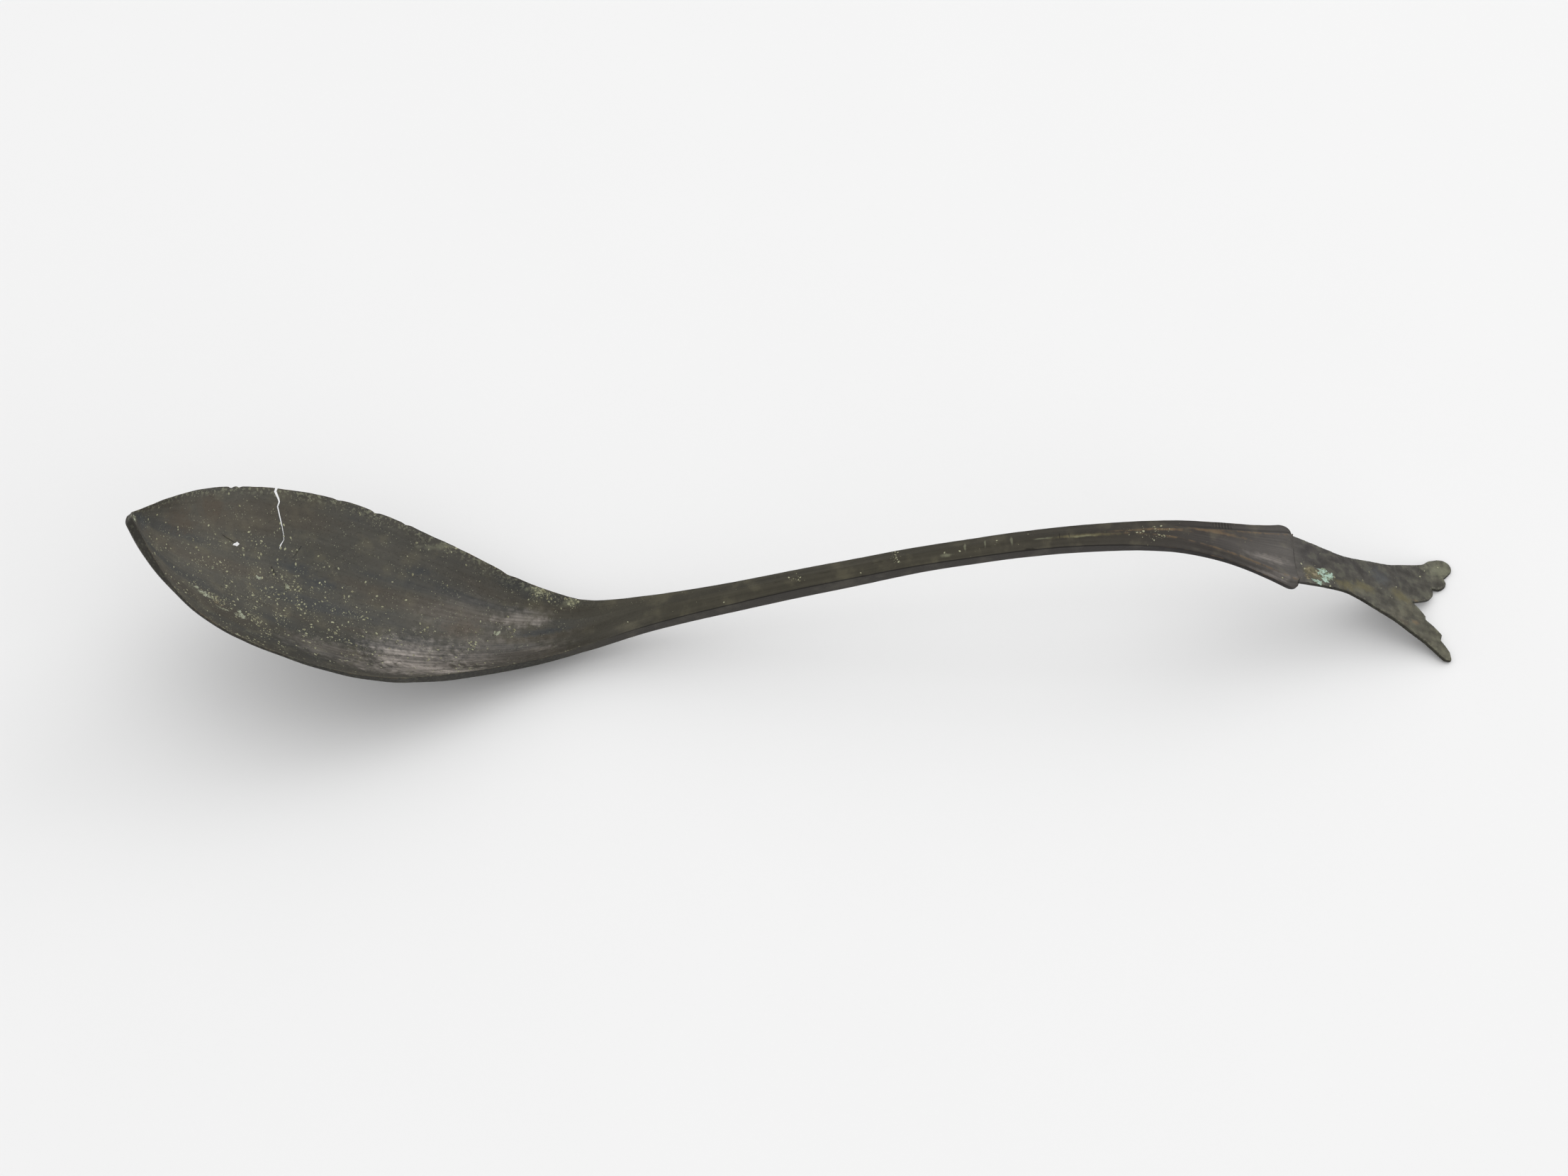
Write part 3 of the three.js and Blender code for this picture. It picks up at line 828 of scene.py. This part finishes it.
def plug(centre, reaches):
    middle = on_top(*centre)
    level = Vector((1, 0, 0))
    up = WALL_NORMAL.cross(level)
    points = []
    for depth in (-THROUGH_WALL, THROUGH_WALL):
        for i, reach in enumerate(reaches):
            angle = 2 * math.pi * i / len(reaches)
            out = level * math.cos(angle) + 0.7 * up * math.sin(angle)
            points.append(middle + out * reach + WALL_NORMAL * depth)
    count = len(reaches)
    sides = [(i, (i + 1) % count, count + (i + 1) % count, count + i) for i in range(count)]
    return points, [*sides, tuple(range(count))[::-1], tuple(range(count, 2 * count))]


def closed_mesh(name, forms):
    """One mesh of closed forms, with doubled points merged and faces turned outwards."""
    points, faces = [], []
    for form_points, form_faces in forms:
        faces += [tuple(corner + len(points) for corner in face) for face in form_faces]
        points += form_points
    mesh = bpy.data.meshes.new(name)
    mesh.from_pydata([point * MM for point in points], [], faces)
    tidy = bmesh.new()
    tidy.from_mesh(mesh)
    bmesh.ops.remove_doubles(tidy, verts=tidy.verts, dist=0.002 * MM)
    bmesh.ops.recalc_face_normals(tidy, faces=tidy.faces)
    tidy.to_mesh(mesh)
    tidy.free()
    return in_scene(name, mesh)


def applied(made):
    """The mesh of an object as its modifiers leave it."""
    graph = bpy.context.evaluated_depsgraph_get()
    return bpy.data.meshes.new_from_object(made.evaluated_get(graph))


def cut_away(made, forms):
    cutters = [closed_mesh("cutter", [form]) for form in forms]
    for cutter in cutters:
        cut = made.modifiers.new("cut", "BOOLEAN")
        cut.operation = "DIFFERENCE"
        cut.solver = "MANIFOLD"
        cut.object = cutter
    finished = applied(made)
    made.modifiers.clear()
    made.data = finished
    finished.name = made.name
    for cutter in cutters:
        bpy.data.objects.remove(cutter)


cut_away(bowl, [
    wedge(CRACK, THROUGH_WALL), plug(HOLE_CENTRE, HOLE_REACH),
    *[wedge(hairline, SCORE_DEPTH) for hairline in HAIRLINES],
])
print("bowl after the cut:", len(bowl.data.polygons), "faces")

# %% [markdown]
# Old bronze is never one colour. Under a brown-black skin the metal shows as lengthwise file
# scratches and burnished streaks, the stem is browner, the tail greener, and rubbed ridges turn
# tan. Painted highlights lighten the bowl's low near wall and the collar's bead, and painted shade
# darkens the side faces, the undersides, the collar's flutes and the stem's edges. One finish covers
# all four castings and changes along the spoon, so no join shows. Each of its layers is a share and
# a tone, mixed over the layers before it.

# %% Mix the aged bronze
SPOON_LENGTH = (cad_high.x - cad_low.x) / MM
TINTS = [
    (0.0, (0.117, 0.11, 0.092)), (0.12, (0.077, 0.074, 0.063)), (0.24, (0.095, 0.09, 0.078)),
    (0.32, (0.082, 0.076, 0.061)), (0.4, (0.058, 0.053, 0.039)), (0.62, (0.054, 0.049, 0.036)),
    (0.72, (0.05, 0.045, 0.036)), (0.8, (0.036, 0.032, 0.029)), (0.86, (0.085, 0.079, 0.073)),
    (0.9, (0.062, 0.058, 0.049)), (0.94, (0.084, 0.079, 0.064)), (1.0, (0.108, 0.104, 0.074)),
]
WORN_TAN = (0.2, 0.135, 0.075)
# The next two tones are for painted highlights, the first also for burnished metal.
BURNISH_AND_SHEEN = (0.44, 0.395, 0.36)
HIGHLIGHT_TONE = (0.85, 0.76, 0.7)
PURPLE_GREY = (0.048, 0.044, 0.046)
PALE_GREEN = (0.36, 0.37, 0.25)
WARM_BROWN = (0.105, 0.078, 0.055)
OLIVE = (0.16, 0.14, 0.07)
BLUE_GREY = (0.075, 0.08, 0.085)
BLUE_BLACK = (0.052, 0.057, 0.062)
NEAR_BLACK = (0.012, 0.011, 0.009)
# Painted highlights, partly real burnish: places on the bowl's low near wall, its heel and the collar's
# bead, each with its reach along and across and its strength.
SHEEN = [
    (68, -4, 19, 8, 0.4), (52.5, -6.5, 13, 8, 0.9), (71.5, 4.6, 7, 2, 0.7), (55, -11, 13, 6, 1.2),
    (38, -10, 14, 5, 0.5), (45, -13, 10, 3.5, 0.7), (64, -5.5, 7, 4, 0.6), (62, 5.5, 13, 5, 0.2),
    (75, -2.5, 4, 1, 0.4), (62, -12.5, 9, 3, 0.9), (74.5, 3.6, 2.8, 0.8, 0.5),
    (213, -1.5, 7, 1.6, 0.45), (211, -5.8, 10, 1.5, 0.6),
]
# Painted highlights: bright crescents and streaks beside the dents on the bowl's low near wall.
HIGHLIGHT_SPOTS = [
    (48.5, -8, 4, 1.6), (54.5, -9.4, 5, 1.6), (58.5, -11.8, 5, 2), (51, -5, 7, 1),
    (43, -14.2, 0.8, 1), (64, -13, 5, 1.2),
]
STAINS = [
    (OLIVE, 0.6, [
        (229.1, -3, 3.5, 1.6), (232.9, -1.6, 3.5, 1.6), (240.6, 0, 3.5, 2), (222.5, -2.5, 3, 2.2),
        (178, -0.4, 8, 0.5),
    ]),
    (WARM_BROWN, 0.4, [(9, 8, 5, 4), (14, 13, 4, 3), (62, 3, 5, 3), (240.5, -6.5, 2, 1)]),
    # Blue-black patches on the bowl's far side and heel: partly bluish patina, partly painted shade that
    # darkens the far wall.
    (BLUE_BLACK, 0.6, [
        (52.9, 12.2, 3.5, 1.1), (31, 8.3, 6, 1.6), (36.5, 7, 5, 1.4), (75, 1.6, 8, 1),
    ]),
    (BLUE_GREY, 0.6, [(236.8, 2.8, 4, 2.6), (2.5, 1.5, 3.5, 2.2)]),
    (WORN_TAN, 0.5, [
        (203, 1.8, 9, 0.5), (193, 0.8, 6, 0.4), (244.2, 0.3, 1.4, 0.5), (243.2, -5.3, 1.4, 0.8),
    ]),
    (PALE_GREEN, 0.32, [
        (250, 9.8, 4.5, 3), (74.5, 8.6, 4.5, 0.8), (80, 5.8, 3, 0.9), (58, 15.6, 9, 0.6),
        (155.5, 0.2, 0.3, 2), (159.3, 0.6, 0.25, 1.8), (164.3, 0.2, 0.35, 2), (152.1, -1.1, 1.4, 0.5),
        (178, -0.5, 3.5, 0.3), (170, -0.3, 2.5, 0.25),
    ]),
    (NEAR_BLACK, 0.8, [
        (167.4, -2.3, 1.6, 0.5), (173.3, 0, 0.12, 2.5), (175.1, 0, 0.12, 2.5), (27.3, 6.3, 0.2, 1.1),
        (31, 11.1, 0.2, 1.6),
    ]),
]


def aged_bronze():
    finish = Finish("aged_bronze")

    def places(listed):
        """The greatest share that any of the listed places has here."""
        share = 0.0
        for x, y, length, width in listed:
            share = finish.near(on_top(x, y), length, width, 1.7).at_least(share)
        return share

    along = (finish.place_x - cad_low.x / MM) * (1 / SPOON_LENGTH)
    tint = finish.node("ValToRGB", {"stops": TINTS}, {"Fac": along}, "Color")
    flank = finish.painted("flank")
    rubbed = finish.painted("rubbed")
    rim = finish.painted("rim")
    in_bowl = finish.ramp(along, 0.28, 0.36, 1.0, 0.0)
    in_collar_now = finish.ramp(along, 0.74, 0.8) * finish.ramp(along, 0.85, 0.88, 1.0, 0.0)
    in_tail = finish.ramp(along, 0.865, 0.88)

    broad = finish.clouds(0.14, 5.0)
    fine = finish.clouds(0.9, 6.0, shift=31.0)
    bands = finish.strokes(3.0, 4.0, 30, shift=7.0)
    lines = finish.strokes(34.0, 4.0, 14, shift=2.0)
    banding = (0.9 - 0.7 * in_bowl) * (bands - 0.5)
    color = finish.vector("SCALE", tint, scale=0.4 + 0.5 * broad + 0.28 * fine + banding + 0.44 * lines)
    olive = finish.ramp(finish.clouds(0.25, 4.0, shift=12.0), 0.5, 0.72)
    mottle = finish.clouds(0.5, 6.0, shift=40.0)
    far_tail = in_tail * finish.ramp(finish.place_y, -2.5, 2.5)

    # Painted highlight: the sheen lightens the colour and lowers roughness and metallic.
    sheen = 0.08 * in_collar_now
    for x, y, length, width, strength in SHEEN:
        sheen = sheen + strength * finish.near(on_top(x, y), length, width, 1.8)
    sheen = sheen.at_most(1.4) * (1 - flank)
    brushed = 0.5 + 0.5 * finish.ramp(lines, 0.38, 0.62)
    # Painted highlight at the listed spots beside the dents.
    painted_highlight = places(HIGHLIGHT_SPOTS) * brushed * (1 - flank)

    dark_side = flank * finish.ramp(along, 0.25, 0.4) * (1 - in_tail)
    # Painted shade: the side faces and undersides of the bowl, the collar and the tail darken towards
    # near black.
    painted_side_shade = flank * (0.7 * in_bowl + 0.7 * in_tail + 0.5 * in_collar_now)
    worn = finish.ramp(broad, 0.4, 0.6, 0.3, 1.0) * finish.ramp(fine, 0.35, 0.65) * rubbed

    ticks = finish.node("Math", {"operation": "PINGPONG"}, {0: finish.place_x, 1: 0.3})
    ticks = finish.ramp(ticks, 0.08, 0.14, 1.0, 0.0) * finish.near(on_top(205.0, 3.9), 2.6, 1.0, 0.8)
    dots = finish.ramp(finish.cells(1.9), 0.15, 0.22, 1.0, 0.0)
    specks = dots * finish.ramp(finish.clouds(0.5, 3.0, shift=3.0), 0.45, 0.6) * in_bowl * (1 - flank)
    crumbs = rim * (1 - 0.8 * flank) * finish.ramp(finish.clouds(1.6, 4.0, shift=21.0), 0.5, 0.62)
    pale = (0.6 * specks).at_least(0.4 * crumbs * in_bowl.at_least(0.5 * in_tail))

    layers = [
        (0.2 * olive, OLIVE),
        (0.2 * finish.ramp(bands, 0.36, 0.5, 1.0, 0.0) * in_bowl, WARM_BROWN),
        (0.5 * finish.ramp(bands, 0.5, 0.64) * in_bowl, BLUE_BLACK),
        (0.5 * far_tail, PURPLE_GREY),
        (0.32 * finish.ramp(mottle, 0.36, 0.5, 1.0, 0.0) * in_tail, NEAR_BLACK),
        (0.1 * finish.ramp(mottle, 0.5, 0.64) * in_tail, PALE_GREEN),
        # Painted highlights: the sheen and the bright spots mix towards light tones.
        (0.55 * sheen * brushed, BURNISH_AND_SHEEN),
        (0.4 * painted_highlight, HIGHLIGHT_TONE),
        (0.5 * dark_side, PURPLE_GREY),
        # Painted shade on the side faces and undersides.
        (painted_side_shade, NEAR_BLACK),
        ((1.1 * worn).at_most(0.5).at_least(0.0), WORN_TAN),
        # Painted shade in the collar's flutes and along the stem's edges.
        ((0 - rubbed).at_least(0.0), NEAR_BLACK),
        *[(strength * places(listed) * (1 - flank), tone) for tone, strength, listed in STAINS],
        (0.6 * ticks, NEAR_BLACK),
        (pale, PALE_GREEN),
    ]
    for share, tone in layers:
        color = finish.mix(share, color, tone)

    pits = finish.ramp(finish.clouds(2.6, 3.0, shift=9.0), 0.3, 0.42, 1.0, 0.0)
    rough_skin = 1 - 0.8 * in_collar_now
    height = 0.5 * lines + rough_skin * (0.5 * fine - 0.6 * pits) + 0.4 * pale - 0.5 * ticks
    roughness = 0.5 + 0.14 * broad - 0.16 * sheen - 0.12 * painted_highlight + 0.3 * pale
    metallic = 0.8 - 0.75 * pale - 0.25 * olive - 0.25 * sheen * in_bowl - 0.2 * painted_highlight
    return finish.finish(color, roughness.at_most(0.9), metallic.at_least(0.0), height, 0.05)


def verdigris(name, pale, deep):
    """Crust of copper salts: dull, crumbly, pale on its heights and darker in its pits."""
    finish = Finish(name)
    crumbs = finish.clouds(2.4, 6.0)
    stain = finish.ramp(finish.clouds(1.3, 4.0, shift=4.0), 0.4, 0.62)
    color = finish.mix(stain, pale, deep)
    color = finish.vector("SCALE", color, scale=0.7 + 0.6 * crumbs)
    return finish.finish(color, 0.78 + 0.2 * crumbs, 0.05 * stain, crumbs, 0.12)


bronze = aged_bronze()
pale_crust = verdigris("pale_crust", (0.34, 0.36, 0.27), (0.15, 0.15, 0.1))
pale_grain = verdigris("pale_grain", (0.36, 0.36, 0.24), (0.22, 0.21, 0.13))
tan_crust = verdigris("tan_crust", (0.22, 0.19, 0.12), (0.09, 0.075, 0.045))
turquoise_crust = verdigris("turquoise_crust", (0.37, 0.5, 0.42), (0.2, 0.24, 0.16))
pieces = {"bowl": [bowl], "stem": [stem], "collar": [collar], "tail": [tail]}
for made, in pieces.values():
    made.data.materials.clear()
    made.data.materials.append(bronze)
print("finishes:", bronze.name, pale_crust.name, tan_crust.name, turquoise_crust.name)

# %% [markdown]
# Patches of crust stand a little proud of the metal. Each is a low irregular dome: rings of points
# whose reach wanders, laid on the top surface and closed below it.

# %% Grow the crust
CRUST_RINGS = 9
CRUST_SPOKES = 44
CRUST_ROOT = 0.15
CRUST_SINK = 0.03
CRUSTS = {
    "bowl_crust": ("bowl", pale_crust, [
        (13.2, -4.3, 0.6, 0.5, 0.16), (14.3, -5.1, 1, 0.75, 0.2), (15.5, -5.2, 0.8, 0.45, 0.16),
        (18, -7.1, 1.4, 0.36, 0.18), (21.1, -6.2, 0.55, 0.75, 0.18), (21.5, -7.3, 1.15, 0.75, 0.2),
        (20.5, -7.2, 0.6, 0.5, 0.16), (24.6, 4, 0.6, 0.45, 0.12), (30.1, 4, 0.6, 0.5, 0.12),
        (21, 8.2, 0.5, 0.35, 0.1), (16.1, 2.4, 0.4, 0.35, 0.1), (67.8, 2.2, 0.5, 0.6, 0.08),
        (0.9, 0.4, 0.5, 0.4, 0.12), (19.2, -16.6, 0.8, 0.4, 0.12), (21.2, -18.1, 0.6, 0.35, 0.12),
    ]),
    "bowl_tan_crust": ("bowl", tan_crust, [(17, -6, 0.9, 0.65, 0.14), (17.9, -6.4, 0.5, 0.4, 0.12)]),
    "tail_crust": ("tail", turquoise_crust, [
        (224.6, -1.3, 1.3, 0.6, 0.2), (225.7, -2.1, 0.9, 0.9, 0.22), (224.7, -3.2, 0.9, 0.8, 0.18),
        (222.9, -4.3, 1.2, 0.5, 0.16), (223.6, -2.1, 0.6, 0.5, 0.14),
    ]),
    "tail_tan_crust": ("tail", tan_crust, [
        (221.5, -1.9, 0.8, 0.6, 0.16), (222.6, -2.6, 0.7, 0.6, 0.14), (221, -3.9, 0.7, 0.6, 0.12),
    ]),
}


def dome(x, y, length, width, height, seed):
    """Points and faces of one patch of crust round a place on the top surface."""
    share = np.repeat(np.arange(CRUST_RINGS + 1) / CRUST_RINGS, CRUST_SPOKES)
    angle = np.tile(2 * np.pi * np.arange(CRUST_SPOKES) / CRUST_SPOKES, CRUST_RINGS + 1)
    east, north = np.cos(angle), np.sin(angle)
    wide = ripple(1.5 * east, 1.5 * north, 1, seed)
    narrow = ripple(4 * east, 4 * north, 1, seed)
    reach = share * (1 + 0.8 * wide + 0.6 * narrow)
    place_x, place_y = x + length * reach * east, y + width * reach * north
    lump = 0.6 + 0.9 * ripple(place_x, place_y, 0.3, seed)
    upper = above_metal(place_x, place_y, height * (1 - share**3) * lump - CRUST_SINK)
    lower = above_metal(place_x, place_y, -CRUST_SINK - CRUST_ROOT * (1 - share))
    points = [Vector(point) for point in np.concatenate([upper, lower])]
    faces = []
    layer = (CRUST_RINGS + 1) * CRUST_SPOKES
    for ring in range(CRUST_RINGS):
        for spoke in range(CRUST_SPOKES):
            a = ring * CRUST_SPOKES + spoke
            b = ring * CRUST_SPOKES + (spoke + 1) % CRUST_SPOKES
            faces.append((a, a + CRUST_SPOKES, b + CRUST_SPOKES, b))
            faces.append((layer + b, layer + b + CRUST_SPOKES, layer + a + CRUST_SPOKES, layer + a))
    return points, faces


for name, (node, material, patches) in CRUSTS.items():
    made = closed_mesh(name, [dome(*patch, seed) for seed, patch in enumerate(patches)])
    made.data.shade_smooth()
    made.data.materials.append(material)
    pieces[node].append(made)
    print(name, len(patches), "patches")

# %% [markdown]
# Hundreds of pale grains of corrosion cling to the bowl, most of them left of its middle, and a few
# to the other parts. They repeat, so Geometry Nodes scatter them: points on the faces, thickest
# where a painted share says so, each with a small flattened grain turned to the surface. A heap is a
# place, its reach along and across, and how crowded it is.


# %% Scatter the grains with Geometry Nodes
GRAIN_SHAPE = (1.4, 0.9, 0.4)
GRAIN_SIZE_POWER = 6.0


def grain_tree():
    tree = bpy.data.node_groups.new("corrosion_grains", "GeometryNodeTree")
    inputs = {
        "Geometry": "Geometry", "Grains per square metre": "Float", "Smallest": "Float",
        "Largest": "Float", "Seed": "Int", "Finish": "Material",
    }
    for name, kind in inputs.items():
        tree.interface.new_socket(name, in_out="INPUT", socket_type="NodeSocket" + kind)
    tree.interface.new_socket("Geometry", in_out="OUTPUT", socket_type="NodeSocketGeometry")

    def node(kind, settings, inputs):
        """The outputs of a new node with these settings and inputs."""
        made = tree.nodes.new(kind)
        for name, value in settings.items():
            setattr(made, name, value)
        for key, value in inputs.items():
            if isinstance(value, bpy.types.NodeSocket):
                tree.links.new(value, pick(made.inputs, key))
            else:
                pick(made.inputs, key).default_value = value
        return made.outputs

    given = node("NodeGroupInput", {}, {})
    share = node("GeometryNodeInputNamedAttribute", {"data_type": "FLOAT"}, {"Name": "grain_share"})
    density = node("ShaderNodeMath", {"operation": "MULTIPLY"}, {
        0: share["Attribute"], 1: given["Grains per square metre"],
    })
    points = node("GeometryNodeDistributePointsOnFaces", {}, {
        "Mesh": given["Geometry"], "Density": density[0], "Seed": given["Seed"],
    })
    chance = node("FunctionNodeRandomValue", {"data_type": "FLOAT"}, {"Seed": given["Seed"]})
    rare = node("ShaderNodeMath", {"operation": "POWER"}, {
        0: pick(chance, "Value"), 1: GRAIN_SIZE_POWER,
    })
    size = node("ShaderNodeMapRange", {}, {
        "Value": rare[0], "To Min": given["Smallest"], "To Max": given["Largest"],
    })
    turn = node("FunctionNodeRandomValue", {"data_type": "FLOAT_VECTOR"}, {
        "Max": (0, 0, 2 * math.pi), "Seed": given["Seed"],
    })
    turned = node("FunctionNodeRotateRotation", {"rotation_space": "LOCAL"}, {
        "Rotation": points["Rotation"], "Rotate By": pick(turn, "Value"),
    })
    ball = node("GeometryNodeMeshIcoSphere", {}, {"Radius": 1.0, "Subdivisions": 1})
    grain = node("GeometryNodeTransform", {}, {"Geometry": ball["Mesh"], "Scale": GRAIN_SHAPE})
    grains = node("GeometryNodeInstanceOnPoints", {}, {
        "Points": points["Points"], "Instance": grain["Geometry"],
        "Rotation": turned["Rotation"], "Scale": size["Result"],
    })
    real = node("GeometryNodeRealizeInstances", {}, {"Geometry": grains["Instances"]})
    finished = node("GeometryNodeSetMaterial", {}, {
        "Geometry": real["Geometry"], "Material": given["Finish"],
    })
    node("NodeGroupOutput", {}, {"Geometry": finished["Geometry"]})
    return tree


GRAINS = grain_tree()
GRAIN_HEAPS = {
    "bowl": (4.4, 0.26, 4, [
        (22, -1, 15, 11, 0.7), (39, -4, 14, 11, 0.25), (59, -10, 11, 5, 0.2), (14.3, -5, 1.8, 1, 4),
        (21.4, -7, 1.3, 1.1, 4), (24.6, 4, 2.2, 1.2, 2), (30.1, 4, 1.6, 1, 2),
        (21.3, 8.3, 2.2, 0.8, 2), (28, 0.4, 0.6, 4.5, 1.8), (38, 2.8, 1.8, 0.9, 3),
        (52.4, 1.6, 1.6, 0.8, 3), (60.5, -1.5, 2, 1.8, 2), (67.8, 2.2, 1, 0.9, 2.5),
        (57.7, 15.3, 6, 0.8, 1.2), (65.8, 12.4, 5, 0.8, 1.2), (74.8, 8.2, 3.4, 0.9, 7),
        (79.6, 6, 3, 0.9, 6), (20, -16.8, 2.6, 0.9, 2), (64.3, -13.2, 0.9, 0.5, 4),
        (45, 19, 6, 0.7, 1),
    ]),
    "stem": (1.8, 0.22, 7, [
        (88.2, -1.2, 2, 0.8, 0.8), (93.6, 2.4, 3, 0.8, 0.8), (123, -0.4, 1.3, 0.6, 9),
        (142.2, 0.2, 1, 1, 9), (159, 0.5, 8, 2, 0.3), (184, 0.6, 3, 0.8, 1),
    ]),
    "collar": (1.8, 0.22, 5, [
        (189.5, 0.4, 2.5, 0.8, 6), (192, -1, 1.6, 0.6, 6), (195.6, 0.7, 2.4, 0.4, 5),
    ]),
    "tail": (1.8, 0.22, 9, [(223.2, -2.4, 3, 2.2, 2), (250, 9.5, 4, 3, 0.5), (240, -1, 8, 5, 0.1)]),
}
SMALLEST_GRAIN = 0.04
STRAY_SHARE = 0.02


def scatter_grains(name, metal, per_square_mm, largest, seed, heaps):
    """Grains on the top of a casting, thickest near the middle of each heap."""
    points = np.zeros(3 * len(metal.data.vertices), np.float32)
    metal.data.vertices.foreach_get("co", points)
    x, y, _ = (points.reshape(-1, 3) / MM - shift).T
    flank = np.zeros(len(metal.data.vertices), np.float32)
    metal.data.attributes["flank"].data.foreach_get("value", flank)
    share = np.full_like(x, STRAY_SHARE)
    for heap_x, heap_y, length, width, crowd in heaps:
        share += crowd * np.exp(-(((x - heap_x) / length) ** 2) - ((y - heap_y) / width) ** 2)
    clumps = np.clip(0.6 + 2.2 * ripple(x, y, 2.4, seed), 0, 1.6)
    paint(metal, "grain_share", share * clumps * (flank < 0.5))
    scatter = metal.modifiers.new("grains", "NODES")
    scatter.node_group = GRAINS
    settings = {
        "Grains per square metre": per_square_mm / MM**2, "Smallest": SMALLEST_GRAIN * MM,
        "Largest": largest * MM, "Seed": seed, "Finish": pale_grain,
    }
    for item in GRAINS.interface.items_tree:
        if item.in_out == "INPUT" and item.name in settings:
            scatter[item.identifier] = settings[item.name]
    metal.update_tag()
    mesh = applied(metal)
    metal.modifiers.remove(scatter)
    mesh.name = name
    print(name, len(mesh.polygons), "faces")
    return in_scene(name, mesh)


for node, made_pieces in pieces.items():
    made_pieces.append(scatter_grains(node + "_grains", made_pieces[0], *GRAIN_HEAPS[node]))

# %% [markdown]
# Last, every fine casting stands for its imported solid, which is hidden; it is attached to the
# spoon's root, and so are its crust and grains.

# %% Hand over the pieces
for node, made_pieces in pieces.items():
    for made in made_pieces:
        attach(made, "root")
        node + "_bronze"
    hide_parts(node)
